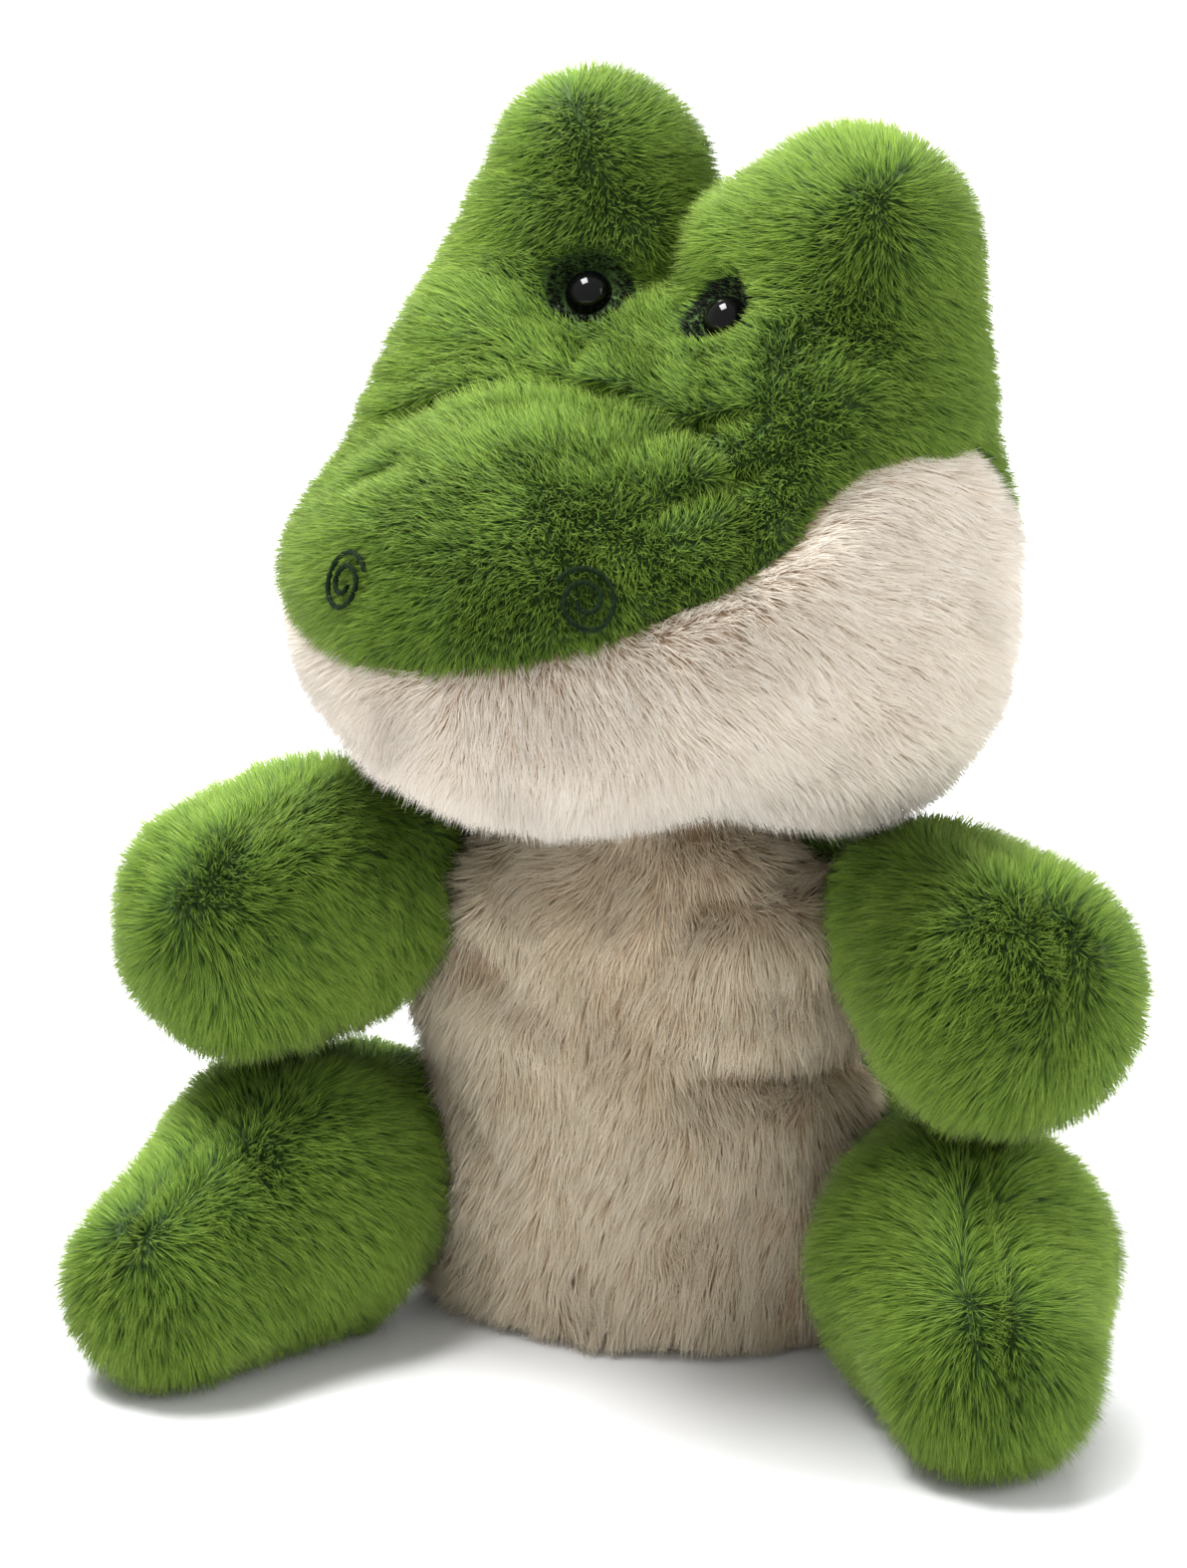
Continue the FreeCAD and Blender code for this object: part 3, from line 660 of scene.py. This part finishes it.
# Folds of the cloth as shallow troughs: from (x, z) to (x, z) on the belly, depth, half width.
FOLDS = (
    ((45, 53), (14, 54), 4.6, 4.0),
    ((36, 65), (18, 62), -2.4, 5.0),
    ((-38, 76), (-14, 66), 2.0, 4.4),
    ((-34, 64), (-6, 56), -2.4, 6.0),
    ((46, 92), (16, 85), 3.4, 3.4),
    ((16, 85), (2, 70), 2.4, 4.5),
    ((-42, 52), (-22, 32), 3.4, 4.4),
    ((34, 34), (12, 22), 2.6, 5.0),
    ((22, 44), (2, 36), -1.8, 6.0),
    ((2, 42), (-6, 8), 1.6, 6.0),
    ((-45, 68), (-44, 50), -4.2, 9.0),
)


def sleeve_at(z):
    """Half width, half depth and centre of the sleeve at height z, softly."""
    total = 0
    for shift in (-3.0, -1.5, 0.0, 1.5, 3.0):
        row = np.stack([np.interp(z + shift, SLEEVE[:, 0], SLEEVE[:, k]) for k in (1, 2, 3)], -1)
        total = total + row / 5
    return total


def sleeve_points(turn, z, inset):
    size = sleeve_at(z)
    x = (size[:, 0] - inset) * np.sin(turn)
    y = size[:, 2] - (size[:, 1] - inset) * np.cos(turn)
    # the shoulders, where the back rises towards the arms
    for way in (1, -1):
        off = (turn - math.pi - way * (math.pi / 2 - 0.45) + math.pi) % (2 * math.pi) - math.pi
        swell = 10.0 * np.exp(-((off / 0.38) ** 2)) * np.exp(-(((z - 90.0) / 6.5) ** 2))
        x = x + swell * np.sin(turn)
        y = y - 0.5 * swell * np.cos(turn)
    return np.stack([x, y, z], -1) + AXIS


def fold_depth(p):
    """How far the cloth sinks at a point, in the folds, puckers and slack of the sleeve."""
    q = p - AXIS
    front = smooth(-q[:, 1], -14, -2)
    depth = np.zeros(len(p))
    for start, end, sink, width in FOLDS:
        a, b = np.array(start, float), np.array(end, float)
        flat = q[:, [0, 2]]
        along = b - a
        t = np.clip((flat - a) @ along / (along @ along), 0, 1)
        d = np.linalg.norm(flat - a - t[:, None] * along, axis=1)
        fade = 0.55 + 0.45 * np.sin(math.pi * np.clip(t, 0.08, 0.92))
        depth += front * sink * fade * np.exp(-((d / width) ** 2))
    depth += 0.9 * noise(q * np.array([1.6, 1.6, 0.7]), 26.0, 41)
    depth += 0.6 * noise(q * np.array([2.0, 2.0, 0.9]), 11.0, 42)
    seam = np.abs(q[:, 1] - SIDE_SEAM_Y)
    return depth + 1.2 * np.exp(-((seam / 2.5) ** 2))


limb_pivots = {name: (from_puppet(spec["at"]), spec["radii"][0]) for name, spec in LIMBS.items()}


def sleeve_grid(inset, low, high, around, rows):
    """The sleeve's cloth as a grid of points, dented where each limb's root sits against it."""
    turn, z = np.meshgrid(
        np.linspace(0, 2 * math.pi, around, endpoint=False), np.linspace(low, high, rows), indexing="ij"
    )
    turn, z = turn.ravel(), z.ravel()
    p = sleeve_points(turn, z, inset)
    core = np.stack([np.zeros(len(z)) + AXIS[0], sleeve_at(z)[:, 2] + AXIS[1], z], -1)
    fade = smooth(z, 1.0, 8.0) * smooth(-z, -104, -94)
    p = p + unit(core - p) * (fold_depth(p) * fade)[:, None]
    # the turned-up edge rolls in at the foot
    p = p + unit(core - p) * (1.8 * smooth(-z, -6.5, -0.5))[:, None]
    for spot, radius in limb_pivots.values():
        room = radius + inset - 0.8
        for _ in range(12):
            d = np.linalg.norm(p - spot, axis=1)
            deep = np.clip(room - d, 0, 3)
            p = p + unit(core - p) * (deep * 0.7)[:, None]
    return p.reshape(around, rows, 3)


def grid_quads(around, rows):
    i, j = np.meshgrid(np.arange(around), np.arange(rows - 1), indexing="ij")
    i, j = i.ravel(), j.ravel()
    k = (i + 1) % around
    return np.stack([i * rows + j, k * rows + j, k * rows + j + 1, i * rows + j + 1], -1)


def mesh_normals(points, quads):
    n = np.zeros_like(points)
    for k in range(4):
        np.add.at(n, quads[:, k], across_quads(points, quads))
    return unit(n)


def scatter_on(points, quads, normals, per_cm2):
    """Random roots on quads with their normals."""
    tri = np.concatenate([quads[:, [0, 1, 2]], quads[:, [0, 2, 3]]])
    a, b, c = (points[tri[:, k]] for k in range(3))
    area = np.linalg.norm(np.cross(b - a, c - a), axis=1) / 2
    total = int(area.sum() * per_cm2 / 100)
    pick = rng.choice(len(tri), total, p=area / area.sum())
    u, v = rng.random(total), rng.random(total)
    over = u + v > 1
    u[over], v[over] = 1 - u[over], 1 - v[over]
    u, v = u[:, None], v[:, None]
    spot = a[pick] * (1 - u - v) + b[pick] * u + c[pick] * v
    na, nb, nc = (normals[tri[pick, k]] for k in range(3))
    return spot, unit(na * (1 - u - v) + nb * u + nc * v)


def thicken(thing, thickness=1.2):
    solid = thing.modifiers.new("cloth", "SOLIDIFY")
    solid.thickness = thickness * MM
    solid.offset = -1
    return thing


def piece(thing, body, slot, *nodes):
    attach(thing, body)
    if nodes:
        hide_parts(*nodes)
    return thing


def limb_pile(name, body, roots, normals, spec):
    """The pile of a limb, combed away from the seam on its top and from its star."""
    line = limb_seam(spec)
    near, gap = from_polyline(roots, line)
    comb = unit(roots - near)
    comb[:, 2] -= 0.25
    stand = 1.95 - 0.75 * smooth(gap, 0, 10)
    sized = PILE * (0.80 + 0.20 * smooth(gap, 0, 6))
    tucked = np.linalg.norm(roots - from_puppet(spec["at"]), axis=1) < spec["radii"][0] + 1
    inner = (roots - from_puppet(spec["at"])) @ limb_axis(spec) < 0
    sized = np.where(tucked & inner, 0.5, 1.0) * sized
    grow(name, body, "green_plush", GREEN_PILE, roots, normals, comb, sized, stand)


# ---------------------------------------------------------------- head
step = 1.5
head_points, head_quads = skin_mesh(head_field, (-72, -90, 90), (72, 66, 232), step)
head_normals = unit(slope(head_field, head_points))
middle = head_points[head_quads].mean(1)
turn_out(head_points, head_quads, unit(slope(head_field, middle)))


def head_zone(h):
    """0 for the green head, 1 for the cream muzzle, 2 and 3 for the left and right brow."""
    zone = (seam_height(h) < 0).astype(int)
    face = face_field(h)
    for side, number in ((1, 2), (-1, 3)):
        own = (brow_field(h, side) < face) & (h[:, 0] * side > 0)
        zone[own] = number
    return zone


zones = head_zone(middle)
PANELS = (
    ("head_skin", GREEN_BACKING, "green_plush", ("head_shell", "head_stuffing")),
    ("muzzle_skin", CREAM_BACKING, "cream_plush", ("muzzle_shell", "snout_stuffing")),
    ("brow_left_skin", GREEN_BACKING, "green_plush", ("brow_left_shell", "brow_left_stuffing")),
    ("brow_right_skin", GREEN_BACKING, "green_plush", ("brow_right_shell", "brow_right_stuffing")),
)
for number, (name, material, slot, nodes) in enumerate(PANELS):
    skin = make_mesh(name, from_head(head_points), head_quads[zones == number], material)
    piece(thicken(skin), "head", slot, *nodes)

roots, root_normals = scatter_on(head_points, head_quads, head_normals, DENSITY)
zone = head_zone(roots)
inside_well = taper(roots, (0, 0, 80), (0, 0, 110), 23.5, 23.0) < 0
roots, root_normals, zone = roots[~inside_well], root_normals[~inside_well], zone[~inside_well]


def head_comb(h, zone):
    forward = smooth(-h[:, 1], -5, 25) * smooth(h[:, 2], 140, 158)
    comb = np.stack([0.012 * h[:, 0], -0.25 - 0.9 * forward, -1.0 + 0.75 * forward], -1)
    cream = zone == 1
    outward = smooth(np.abs(h[:, 0]), 18, 45)
    comb[cream] = np.stack([
        np.sign(h[cream, 0]) * (0.25 + 0.35 * outward[cream]),
        -0.25 + 0.75 * outward[cream],
        -1.0 + 0.25 * outward[cream],
    ], -1)
    for number, side, star in ((2, 1, (0.55, -0.375, 0.74)), (3, -1, (-0.14, -0.40, 0.91))):
        own = zone == number
        top, radius = BROW_TOPS[side]
        centre = top + unit(np.array(star)) * radius
        back = top + np.array([side * 6.0, 14.0, 14.0])
        near, gap = from_polyline(h[own], np.array([centre, back]))
        comb[own] = unit(h[own] - near) + np.array([0, 0, -0.15])
    return comb


comb = head_comb(roots, zone)
sized = np.where(zone == 1, PILE, 4.9)
stand = np.where(zone == 1, 1.05, 1.80)
seam_near = np.abs(seam_gap(roots))
sized = sized * (0.72 + 0.28 * smooth(seam_near, 0.5, 5)) * (1 - 0.45 * face_crease(roots))
# Painted shade: the strands within 7.4 mm of each eye become near-black pile, standing in for the shade in
# the eye socket.
socket_shade_mask = np.zeros(len(roots), bool)
for side in (1, -1):
    eye = EYE_PLACES[side]
    d = np.linalg.norm(roots - eye, axis=1)
    socket_shade_mask |= d < 7.4
    sized = np.where(d < 14, np.minimum(sized, 2.0 + 4.0 * smooth(d, 6.5, 14)), sized)
    away = unit(roots - eye)
    comb = comb + away * (1.6 * smooth(-d, -12, -7))[:, None]
    spot = NOSTRIL_SPOTS[side]
    d = np.linalg.norm(roots - spot, axis=1)
    sized = np.where(d < 11, np.minimum(sized, 3.7 + 1.8 * smooth(d, 4.5, 10)), sized)
keep = np.ones(len(roots), bool)
for side in (1, -1):
    keep &= np.linalg.norm(roots - EYE_PLACES[side], axis=1) > 4.4
parts = (
    ("head_pile", "green_plush", GREEN_PILE, (zone == 0) & ~socket_shade_mask),
    ("muzzle_pile", "cream_plush", CREAM_PILE, (zone == 1) & ~socket_shade_mask),
    ("brow_left_pile", "green_plush", GREEN_PILE, (zone == 2) & ~socket_shade_mask),
    ("brow_right_pile", "green_plush", GREEN_PILE, (zone == 3) & ~socket_shade_mask),
    ("eye_socket_shade_pile", "green_plush", SOCKET_SHADE_PILE, socket_shade_mask),
)
for name, slot, material, own in parts:
    own = own & keep
    cream = material is CREAM_PILE
    grow(
        name, "head", slot, material, from_head(roots[own]), root_normals[own] @ TO_ROW.T,
        comb[own] @ TO_ROW.T, sized[own], stand[own],
        2.6 if cream else 2.0, 0.40 if cream else 0.34, 0.20 if cream else 0.30, False,
    )

# ---------------------------------------------------------------- limbs
for name, spec in LIMBS.items():
    field = limb_field(spec)
    tip = from_puppet(spec["at"]) + limb_axis(spec) * spec["stops"][-1]
    ends = np.stack([from_puppet(spec["at"]), tip])
    reach = max(spec["radii"]) + 4
    points, quads = skin_mesh(field, ends.min(0) - reach, ends.max(0) + reach, step)
    points[:, 2] = np.maximum(points[:, 2], 0.8)
    normals = unit(slope(field, points))
    turn_out(points, quads, normals[quads].mean(1))
    skin = make_mesh(f"{name}_skin", points, quads, GREEN_BACKING)
    nodes = [f"{name}_shell", f"{name}_stuffing"]
    piece(skin, name, "green_plush", *nodes)
    roots, root_normals = scatter_on(points, quads, normals, DENSITY)
    limb_pile(f"{name}_pile", name, roots, root_normals, spec)

# ---------------------------------------------------------------- torso
around, rows = ((220, 90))
grid = sleeve_grid(UNDER, 0.9, 104.0, around, rows)
points = grid.reshape(-1, 3)
quads = grid_quads(around, rows)
normals = mesh_normals(points, quads)
middle = points[quads].mean(1)
if np.einsum("ij,ij->i", normals[quads].mean(1), middle - AXIS).mean() < 0:
    quads = quads[:, ::-1]
    normals = -normals
is_front = middle[:, 1] < SIDE_SEAM_Y + AXIS[1]
belly = make_mesh("belly_skin", points, quads[is_front], CREAM_BACKING)
piece(thicken(belly), "torso", "cream_plush", "belly_panel")
back = make_mesh("back_skin", points, quads[~is_front], GREEN_BACKING)
piece(thicken(back), "torso", "green_plush", "back_panel")

inner = sleeve_grid(UNDER + 2.6, 1.4, 100.0, around, rows).reshape(-1, 3)
lining = make_mesh("lining_cloth", inner, quads, LINING)
piece(thicken(lining, 0.5), "torso", "green_lining", "sleeve_lining")

roots, root_normals = scatter_on(points, quads, normals, DENSITY)
shown = roots[:, 2] < 103
roots, root_normals = roots[shown], root_normals[shown]
cream = roots[:, 1] < SIDE_SEAM_Y + AXIS[1]
covered = np.zeros(len(roots), bool)
for name, spec in LIMBS.items():
    covered |= limb_field(spec)(roots) < 1.0
sized = np.where(covered, 2.5, np.where(cream, 7.0, 6.0))
seam_near = np.abs(roots[:, 1] - AXIS[1] - SIDE_SEAM_Y)
sized = sized * (0.7 + 0.3 * smooth(seam_near, 0.5, 5))
comb = np.tile([0.0, 0.0, -1.0], (len(roots), 1))
comb[:, 0] += 0.25 * noise(roots, 30.0, 71)
stand = np.where(cream, 0.42, 0.75)
for name, slot, material, own in (
    ("belly_pile", "cream_plush", BELLY_PILE, cream),
    ("back_pile", "green_plush", GREEN_PILE, ~cream),
):
    locks = (3.2, 0.62, 0.14) if slot == "cream_plush" else (2.5, 0.46, 0.20)
    grow(name, "torso", slot, material, roots[own], root_normals[own], comb[own], sized[own],
         stand[own], *locks)


# ---------------------------------------------------------------- small pieces
def tube(name, line, radius, sides, material):
    """A tube along points, with radius one number or one for each point."""
    line = np.asarray(line, float)
    radius = np.broadcast_to(radius, len(line))
    ring = rays_round(unit(np.gradient(line, axis=0)), (0.31, 0.17, 0.93), sides)
    points = (line[:, None] + ring * radius[:, None, None]).reshape(-1, 3)
    count = len(line)
    faces = []
    for i in range(count - 1):
        for j in range(sides):
            k = (j + 1) % sides
            faces.append([i * sides + j, i * sides + k, (i + 1) * sides + k, (i + 1) * sides + j])
    points = np.vstack([points, line[:1], line[-1:]])
    last = (count - 1) * sides
    for j in range(sides):
        k = (j + 1) % sides
        faces.append([j, count * sides, k])
        faces.append([last + j, last + k, count * sides + 1])
    mesh = bpy.data.meshes.new(name)
    mesh.from_pydata([tuple(p * MM) for p in points], [], faces)
    mesh.update()
    mesh.polygons.foreach_set("use_smooth", np.ones(len(mesh.polygons), bool))
    mesh.materials.append(material)
    thing = bpy.data.objects.new(name, mesh)
    bpy.context.scene.collection.objects.link(thing)
    return thing


def plain_material(name, colour, roughness, scale=300, spread=0.15):
    """A moulded or spun material: its colour with a faint procedural unevenness."""
    material, tree, shader = new_material(name)
    low = tuple(c * (1 - spread) for c in colour)
    high = tuple(c * (1 + spread) for c in colour)
    grain(tree, shader, low, high, scale)
    shader.inputs["Roughness"].default_value = roughness
    return material


EYE_GLOSS = plain_material("eye_gloss", (0.002, 0.002, 0.0025), 0.05)
set_value(EYE_GLOSS, "Specular IOR Level", 0.28)
WASHER = plain_material("washer_plastic_white", (0.75, 0.75, 0.72), 0.45)
THREAD = plain_material("dark_thread_spun", (0.006, 0.016, 0.005), 0.8, 1500, 0.5)
set_value(THREAD, "Specular IOR Level", 0.1)
LABEL = woven_material("label_weave", (0.62, 0.61, 0.58), (0.86, 0.85, 0.82), 900)


def turned(name, profile, spot, way, material, sides=48):
    """A turned piece: profile is (radius, height) along way from spot, closed at both ends."""
    way = unit(np.asarray(way, float))
    ring = rays_round(way[None], (0.2, 0.1, 0.97), sides)[0]
    rings = [spot + way * height + ring * radius for radius, height in profile]
    points = np.concatenate(rings)
    quads = []
    for i in range(len(profile) - 1):
        for j in range(sides):
            k = (j + 1) % sides
            quads.append([i * sides + j, (i + 1) * sides + j, (i + 1) * sides + k, i * sides + k])
    return make_mesh(name, points, np.array(quads), material)


DOME = [(4.3 * math.sin(a), 3.6 * math.cos(a)) for a in np.linspace(0.02, math.pi / 2, 16)]
EYE_PROFILE = DOME + [(4.5, -0.4), (4.2, -0.9), (1.8, -1.0), (1.5, -1.6), (1.5, -9.5), (0.05, -9.6)]
for word, side in (("left", 1), ("right", -1)):
    spot = from_head(EYE_PLACES[side])
    way = mirrored(EYE_WAY, side) @ TO_ROW.T
    eye = turned(f"eye_{word}_dome", EYE_PROFILE, spot, way, EYE_GLOSS)
    piece(eye, "head", "black_eye", f"eye_{word}")
for node in ("eye_washer_left", "eye_washer_right"):
    frame["nodes"][node].data.materials.clear()
    frame["nodes"][node].data.materials.append(WASHER)


def on_head_skin(h, lift):
    """The place on the head's skin nearest h, raised by lift, and the way out of it there."""
    for _ in range(8):
        g = slope(head_field, h)
        h = h - head_field(h)[:, None] * g / np.maximum((g * g).sum(-1, keepdims=True), 0.05)
    n = unit(slope(head_field, h))
    return h + n * lift, n


def swirl(side):
    """The stitched nostril: one and three quarter turns of thick thread, wound inwards."""
    spot, n = on_head_skin(NOSTRIL_SPOTS[side][None], 0.0)
    across = unit(np.cross(n[0], np.array([0, 0, 1.0])))
    upright = np.cross(across, n[0])
    t = np.linspace(0, 1, 90)
    turn = 2 * math.pi * 1.9 * t + 0.6
    radius = 5.4 * (1 - 0.78 * t)
    flat = spot[0] + side * across * (radius * np.cos(turn))[:, None]
    flat = flat + upright * (radius * np.sin(turn))[:, None]
    line, _ = on_head_skin(flat, 3.5)
    thick = 0.46 + 0.07 * np.sin(t * 2 * math.pi * 26)
    return line, thick


for word, side in (("left", 1), ("right", -1)):
    line, thick = swirl(side)
    thread = tube(f"nostril_swirl_{word}", from_head(line), thick, 8, THREAD)
    piece(thread, "head", "dark_thread", f"nostril_thread_{word}")


def loop_quads(around, rows):
    """The faces of a wall that closes on itself both ways round."""
    i, j = np.meshgrid(np.arange(around), np.arange(rows), indexing="ij")
    i, j = i.ravel(), j.ravel()
    k, l = (i + 1) % around, (j + 1) % rows
    return np.stack([i * rows + j, k * rows + j, k * rows + l, i * rows + l], -1)


def ring_wall(name, low, high, outer, inner, around, rows, material, wobble):
    """A closed band of cloth round the sleeve's axis, between two insets from its outer face."""
    turn = np.linspace(0, 2 * math.pi, around, endpoint=False)
    up = np.linspace(low, high, rows)
    path = [(outer, z) for z in up] + [(inner, z) for z in up[::-1]]
    rings = []
    for inset, z in path:
        p = sleeve_points(turn, np.full(around, z), inset)
        rings.append(p + unit(p - AXIS - np.array([0, 0, z])) * (wobble * noise(p, 7.0, 91))[:, None])
    return make_mesh(name, np.stack(rings, 1).reshape(-1, 3), loop_quads(around, len(path)), material)


hem = ring_wall("hem_turned_up", 0.5, 12.0, 4.2, 6.0, 160, 12, LINING, 0.35)
piece(hem, "torso", "green_lining", "hem_band")

# The hem's running stitches, one for each small step round the sleeve.
STITCHES = 54
STITCH_SHARE = 0.62    # of a step that the thread shows
points, quads = [], []
for k in range(STITCHES):
    reach = np.linspace(2 * math.pi * k / STITCHES, 2 * math.pi * (k + STITCH_SHARE) / STITCHES, 5)
    path = sleeve_points(reach, np.full(5, 10.2), 6.25)
    turn = np.linspace(0, 2 * math.pi, 6, endpoint=False)
    ahead = unit(np.gradient(path, axis=0))
    side = unit(np.cross(ahead, np.array([0, 0, 1.0])))
    up = np.cross(side, ahead)
    size = np.array([0.12, 0.32, 0.36, 0.32, 0.12])
    ring = path[:, None] + (side[:, None] * np.cos(turn)[None, :, None]
                            + up[:, None] * np.sin(turn)[None, :, None]) * size[:, None, None]
    base = k * 30
    points.append(ring.reshape(-1, 3))
    for i in range(4):
        for j in range(6):
            a, b = base + i * 6 + j, base + i * 6 + (j + 1) % 6
            quads.append([a, b, b + 6, a + 6])
stitching = make_mesh("hem_stitches", np.concatenate(points), np.array(quads), THREAD)
piece(stitching, "torso", "dark_thread")


def round_wall(name, centre_line, outer, inner, around, material, closed_top, ripple):
    """A cloth tube with two faces along a line of points, open or closed at its far end."""
    line = np.asarray(centre_line, float)
    ray = rays_round(unit(np.gradient(line, axis=0)), (0.13, 0.95, 0.21), around)
    count = len(line)
    taper_in = np.ones(count)
    if closed_top:
        near_end = np.linalg.norm(line - line[-1], axis=1)
        taper_in = np.sqrt(np.clip(1 - np.clip(1 - near_end / 7.0, 0, 1) ** 2, 0.0004, 1))
    shells = []
    for radius in (outer, inner):
        r = np.full((count, around), float(radius)) * taper_in[:, None]
        flat = (line[:, None] + ray * radius).reshape(-1, 3)
        r = r + ripple * noise(flat, 8.0, 95).reshape(count, around) * taper_in[:, None]
        shells.append(line[:, None] + ray * r[:, :, None])
    path = np.concatenate([shells[0], shells[1][::-1]])
    points = path.transpose(1, 0, 2).reshape(-1, 3)
    return make_mesh(name, points, loop_quads(around, len(path)), material)


def straight(a, b, count):
    return np.linspace(np.array(a, float), np.array(b, float), count)


low, high = node_box("head_finger_tube")
middle = (low + high) / 2
pouch = round_wall(
    "head_finger_pouch",
    straight((middle[0], middle[1], low[2] + 0.4), (middle[0], middle[1], high[2] - 0.4), 30),
    17.9, 17.0, 72, LINING, True, 0.5,
)
piece(pouch, "head", "green_lining", "head_finger_tube")

for word, side in (("left", 1), ("right", -1)):
    low, high = node_box(f"arm_{word}_finger_pocket")
    middle = (low + high) / 2
    middle[1] += 3.0
    ends = (low[0] + 4.5, high[0] - 0.3) if side > 0 else (high[0] - 4.5, low[0] + 0.3)
    radius = (high[2] - low[2]) / 2 - 1.0
    pocket = round_wall(
        f"arm_{word}_finger_pouch",
        straight((ends[0], middle[1], middle[2]), (ends[1], middle[1], middle[2]), 16),
        radius - 0.1, radius - 0.8, 40, LINING, True, 0.25,
    )
    piece(pocket, f"arm_{word}", "green_lining", f"arm_{word}_finger_pocket")

# The neck: a gathered collar of backing cloth that runs from the sleeve's top up into the head.
neck_at = from_puppet((0, 0, 0))
collar = round_wall(
    "neck_collar",
    straight(neck_at + np.array([0, 0, 95.5]), neck_at + np.array([0, 0, 115.0]), 14),
    19.6, 18.2, 96, GREEN_BACKING, False, 0.5,
)
piece(collar, "neck", "green_plush", "neck_band")

# The blank care label, sewn inside the back of the sleeve and curling a little.
low, high = node_box("care_label")
u, v = np.meshgrid(np.linspace(0, 1, 18), np.linspace(0, 1, 16), indexing="ij")
u, v = u.ravel(), v.ravel()
curl = 0.8 * np.sin(math.pi * v) + 0.5 * v * v * np.sin(3 * u)
label_size = high - low
front = np.stack([
    low[0] + label_size[0] * u,
    (low[1] + high[1]) / 2 - 0.15 - curl,
    low[2] + label_size[2] * v,
], -1)
rear = front + np.array([0, 0.3, 0])
i, j = np.meshgrid(np.arange(17), np.arange(15), indexing="ij")
i, j = i.ravel(), j.ravel()
one = np.stack([i * 16 + j, (i + 1) * 16 + j, (i + 1) * 16 + j + 1, i * 16 + j + 1], -1)
edge = []
rim = [(k, 0) for k in range(17)] + [(17, k) for k in range(15)]
rim += [(k, 15) for k in range(17, 0, -1)] + [(0, k) for k in range(15, 0, -1)]
for (i0, j0), (i1, j1) in zip(rim, rim[1:] + rim[:1]):
    a, b = i0 * 16 + j0, i1 * 16 + j1
    edge.append([b, a, a + 288, b + 288])
quads = np.concatenate([one, one[:, ::-1] + 288, np.array(edge)])
label = make_mesh("care_label_cloth", np.concatenate([front, rear]), quads, LABEL)
piece(label, "torso", "white_label", "care_label")


# ---------------------------------------------------------------- stage
def stage_material(name, colour):
    material, tree, shader = new_material(name)
    grain(tree, shader, tuple(c * 0.99 for c in colour), colour, 3)
    shader.inputs["Roughness"].default_value = 0.5
    shader.inputs["Specular IOR Level"].default_value = 0.2
    return material


SWEEP = stage_material("white_sweep", (0.89, 0.89, 0.895))
side_steps = np.linspace(-3.0, 3.0, 5)
turns = np.linspace(0, math.pi / 2, 24)
profile = [(-2.5, 0.0), (-1.0, 0.0)]
profile += [(1.3 + 0.9 * math.sin(a), 0.9 - 0.9 * math.cos(a)) for a in turns]
profile += [(2.2, 3.5)]
AZIMUTH, ELEVATION = math.radians(16), math.radians(17)
c_view, s_view = math.cos(AZIMUTH), math.sin(AZIMUTH)
points = []
for y, z in profile:
    for x in side_steps:
        points.append(((x * c_view - y * s_view) / MM, (x * s_view + y * c_view) / MM, z / MM))
quads = []
for i in range(len(profile) - 1):
    for j in range(len(side_steps) - 1):
        a = i * len(side_steps) + j
        quads.append([a, a + 1, a + 1 + len(side_steps), a + len(side_steps)])
sweep = make_mesh("studio_sweep", np.array(points), np.array(quads), SWEEP)

world = bpy.data.worlds.new("studio_world")
bpy.context.scene.world = world
world.use_nodes = True
world.node_tree.nodes["Background"].inputs["Color"].default_value = (1.0, 1.0, 1.0, 1)
world.node_tree.nodes["Background"].inputs["Strength"].default_value = 0.58

BACK = np.array([
    s_view * math.cos(ELEVATION), -c_view * math.cos(ELEVATION), math.sin(ELEVATION)
])
RIGHT = np.array([c_view, s_view, 0])
UP = np.cross(BACK, RIGHT)
TARGET = from_puppet((0, 0, 99.5)) - 12.364 * RIGHT


def look_at(thing, place, target):
    thing.location = Vector(place)
    thing.rotation_euler = (Vector(target) - Vector(place)).to_track_quat("-Z", "Y").to_euler()


def soft_box(name, right, up, back, width, height, power):
    lamp = bpy.data.lights.new(name, "AREA")
    lamp.shape = "RECTANGLE"
    lamp.size, lamp.size_y = width, height
    lamp.energy = power
    thing = bpy.data.objects.new(name, lamp)
    bpy.context.scene.collection.objects.link(thing)
    target = TARGET * MM
    look_at(thing, target + right * RIGHT + up * UP + back * BACK, target)


soft_box("key_light", -0.55, 1.35, 0.45, 0.7, 0.5, 36.0)
soft_box("backdrop_light", 0.0, 1.6, -0.9, 1.6, 0.6, 40.0)
soft_box("fill_light", 1.3, 0.4, 0.6, 0.9, 0.9, 9.0)

lens = bpy.data.cameras.new("camera")
lens.sensor_width = lens.sensor_height = 36
lens.sensor_fit = "VERTICAL"
lens.lens = 36 * 5555 / 1574
lens.clip_start, lens.clip_end = 0.05, 20
camera = bpy.data.objects.new("camera", lens)
bpy.context.scene.collection.objects.link(camera)
look_at(camera, (TARGET + 1010 * BACK) * MM, TARGET * MM)
bpy.context.scene.camera = camera
bpy.context.scene.view_settings.view_transform = "Standard"
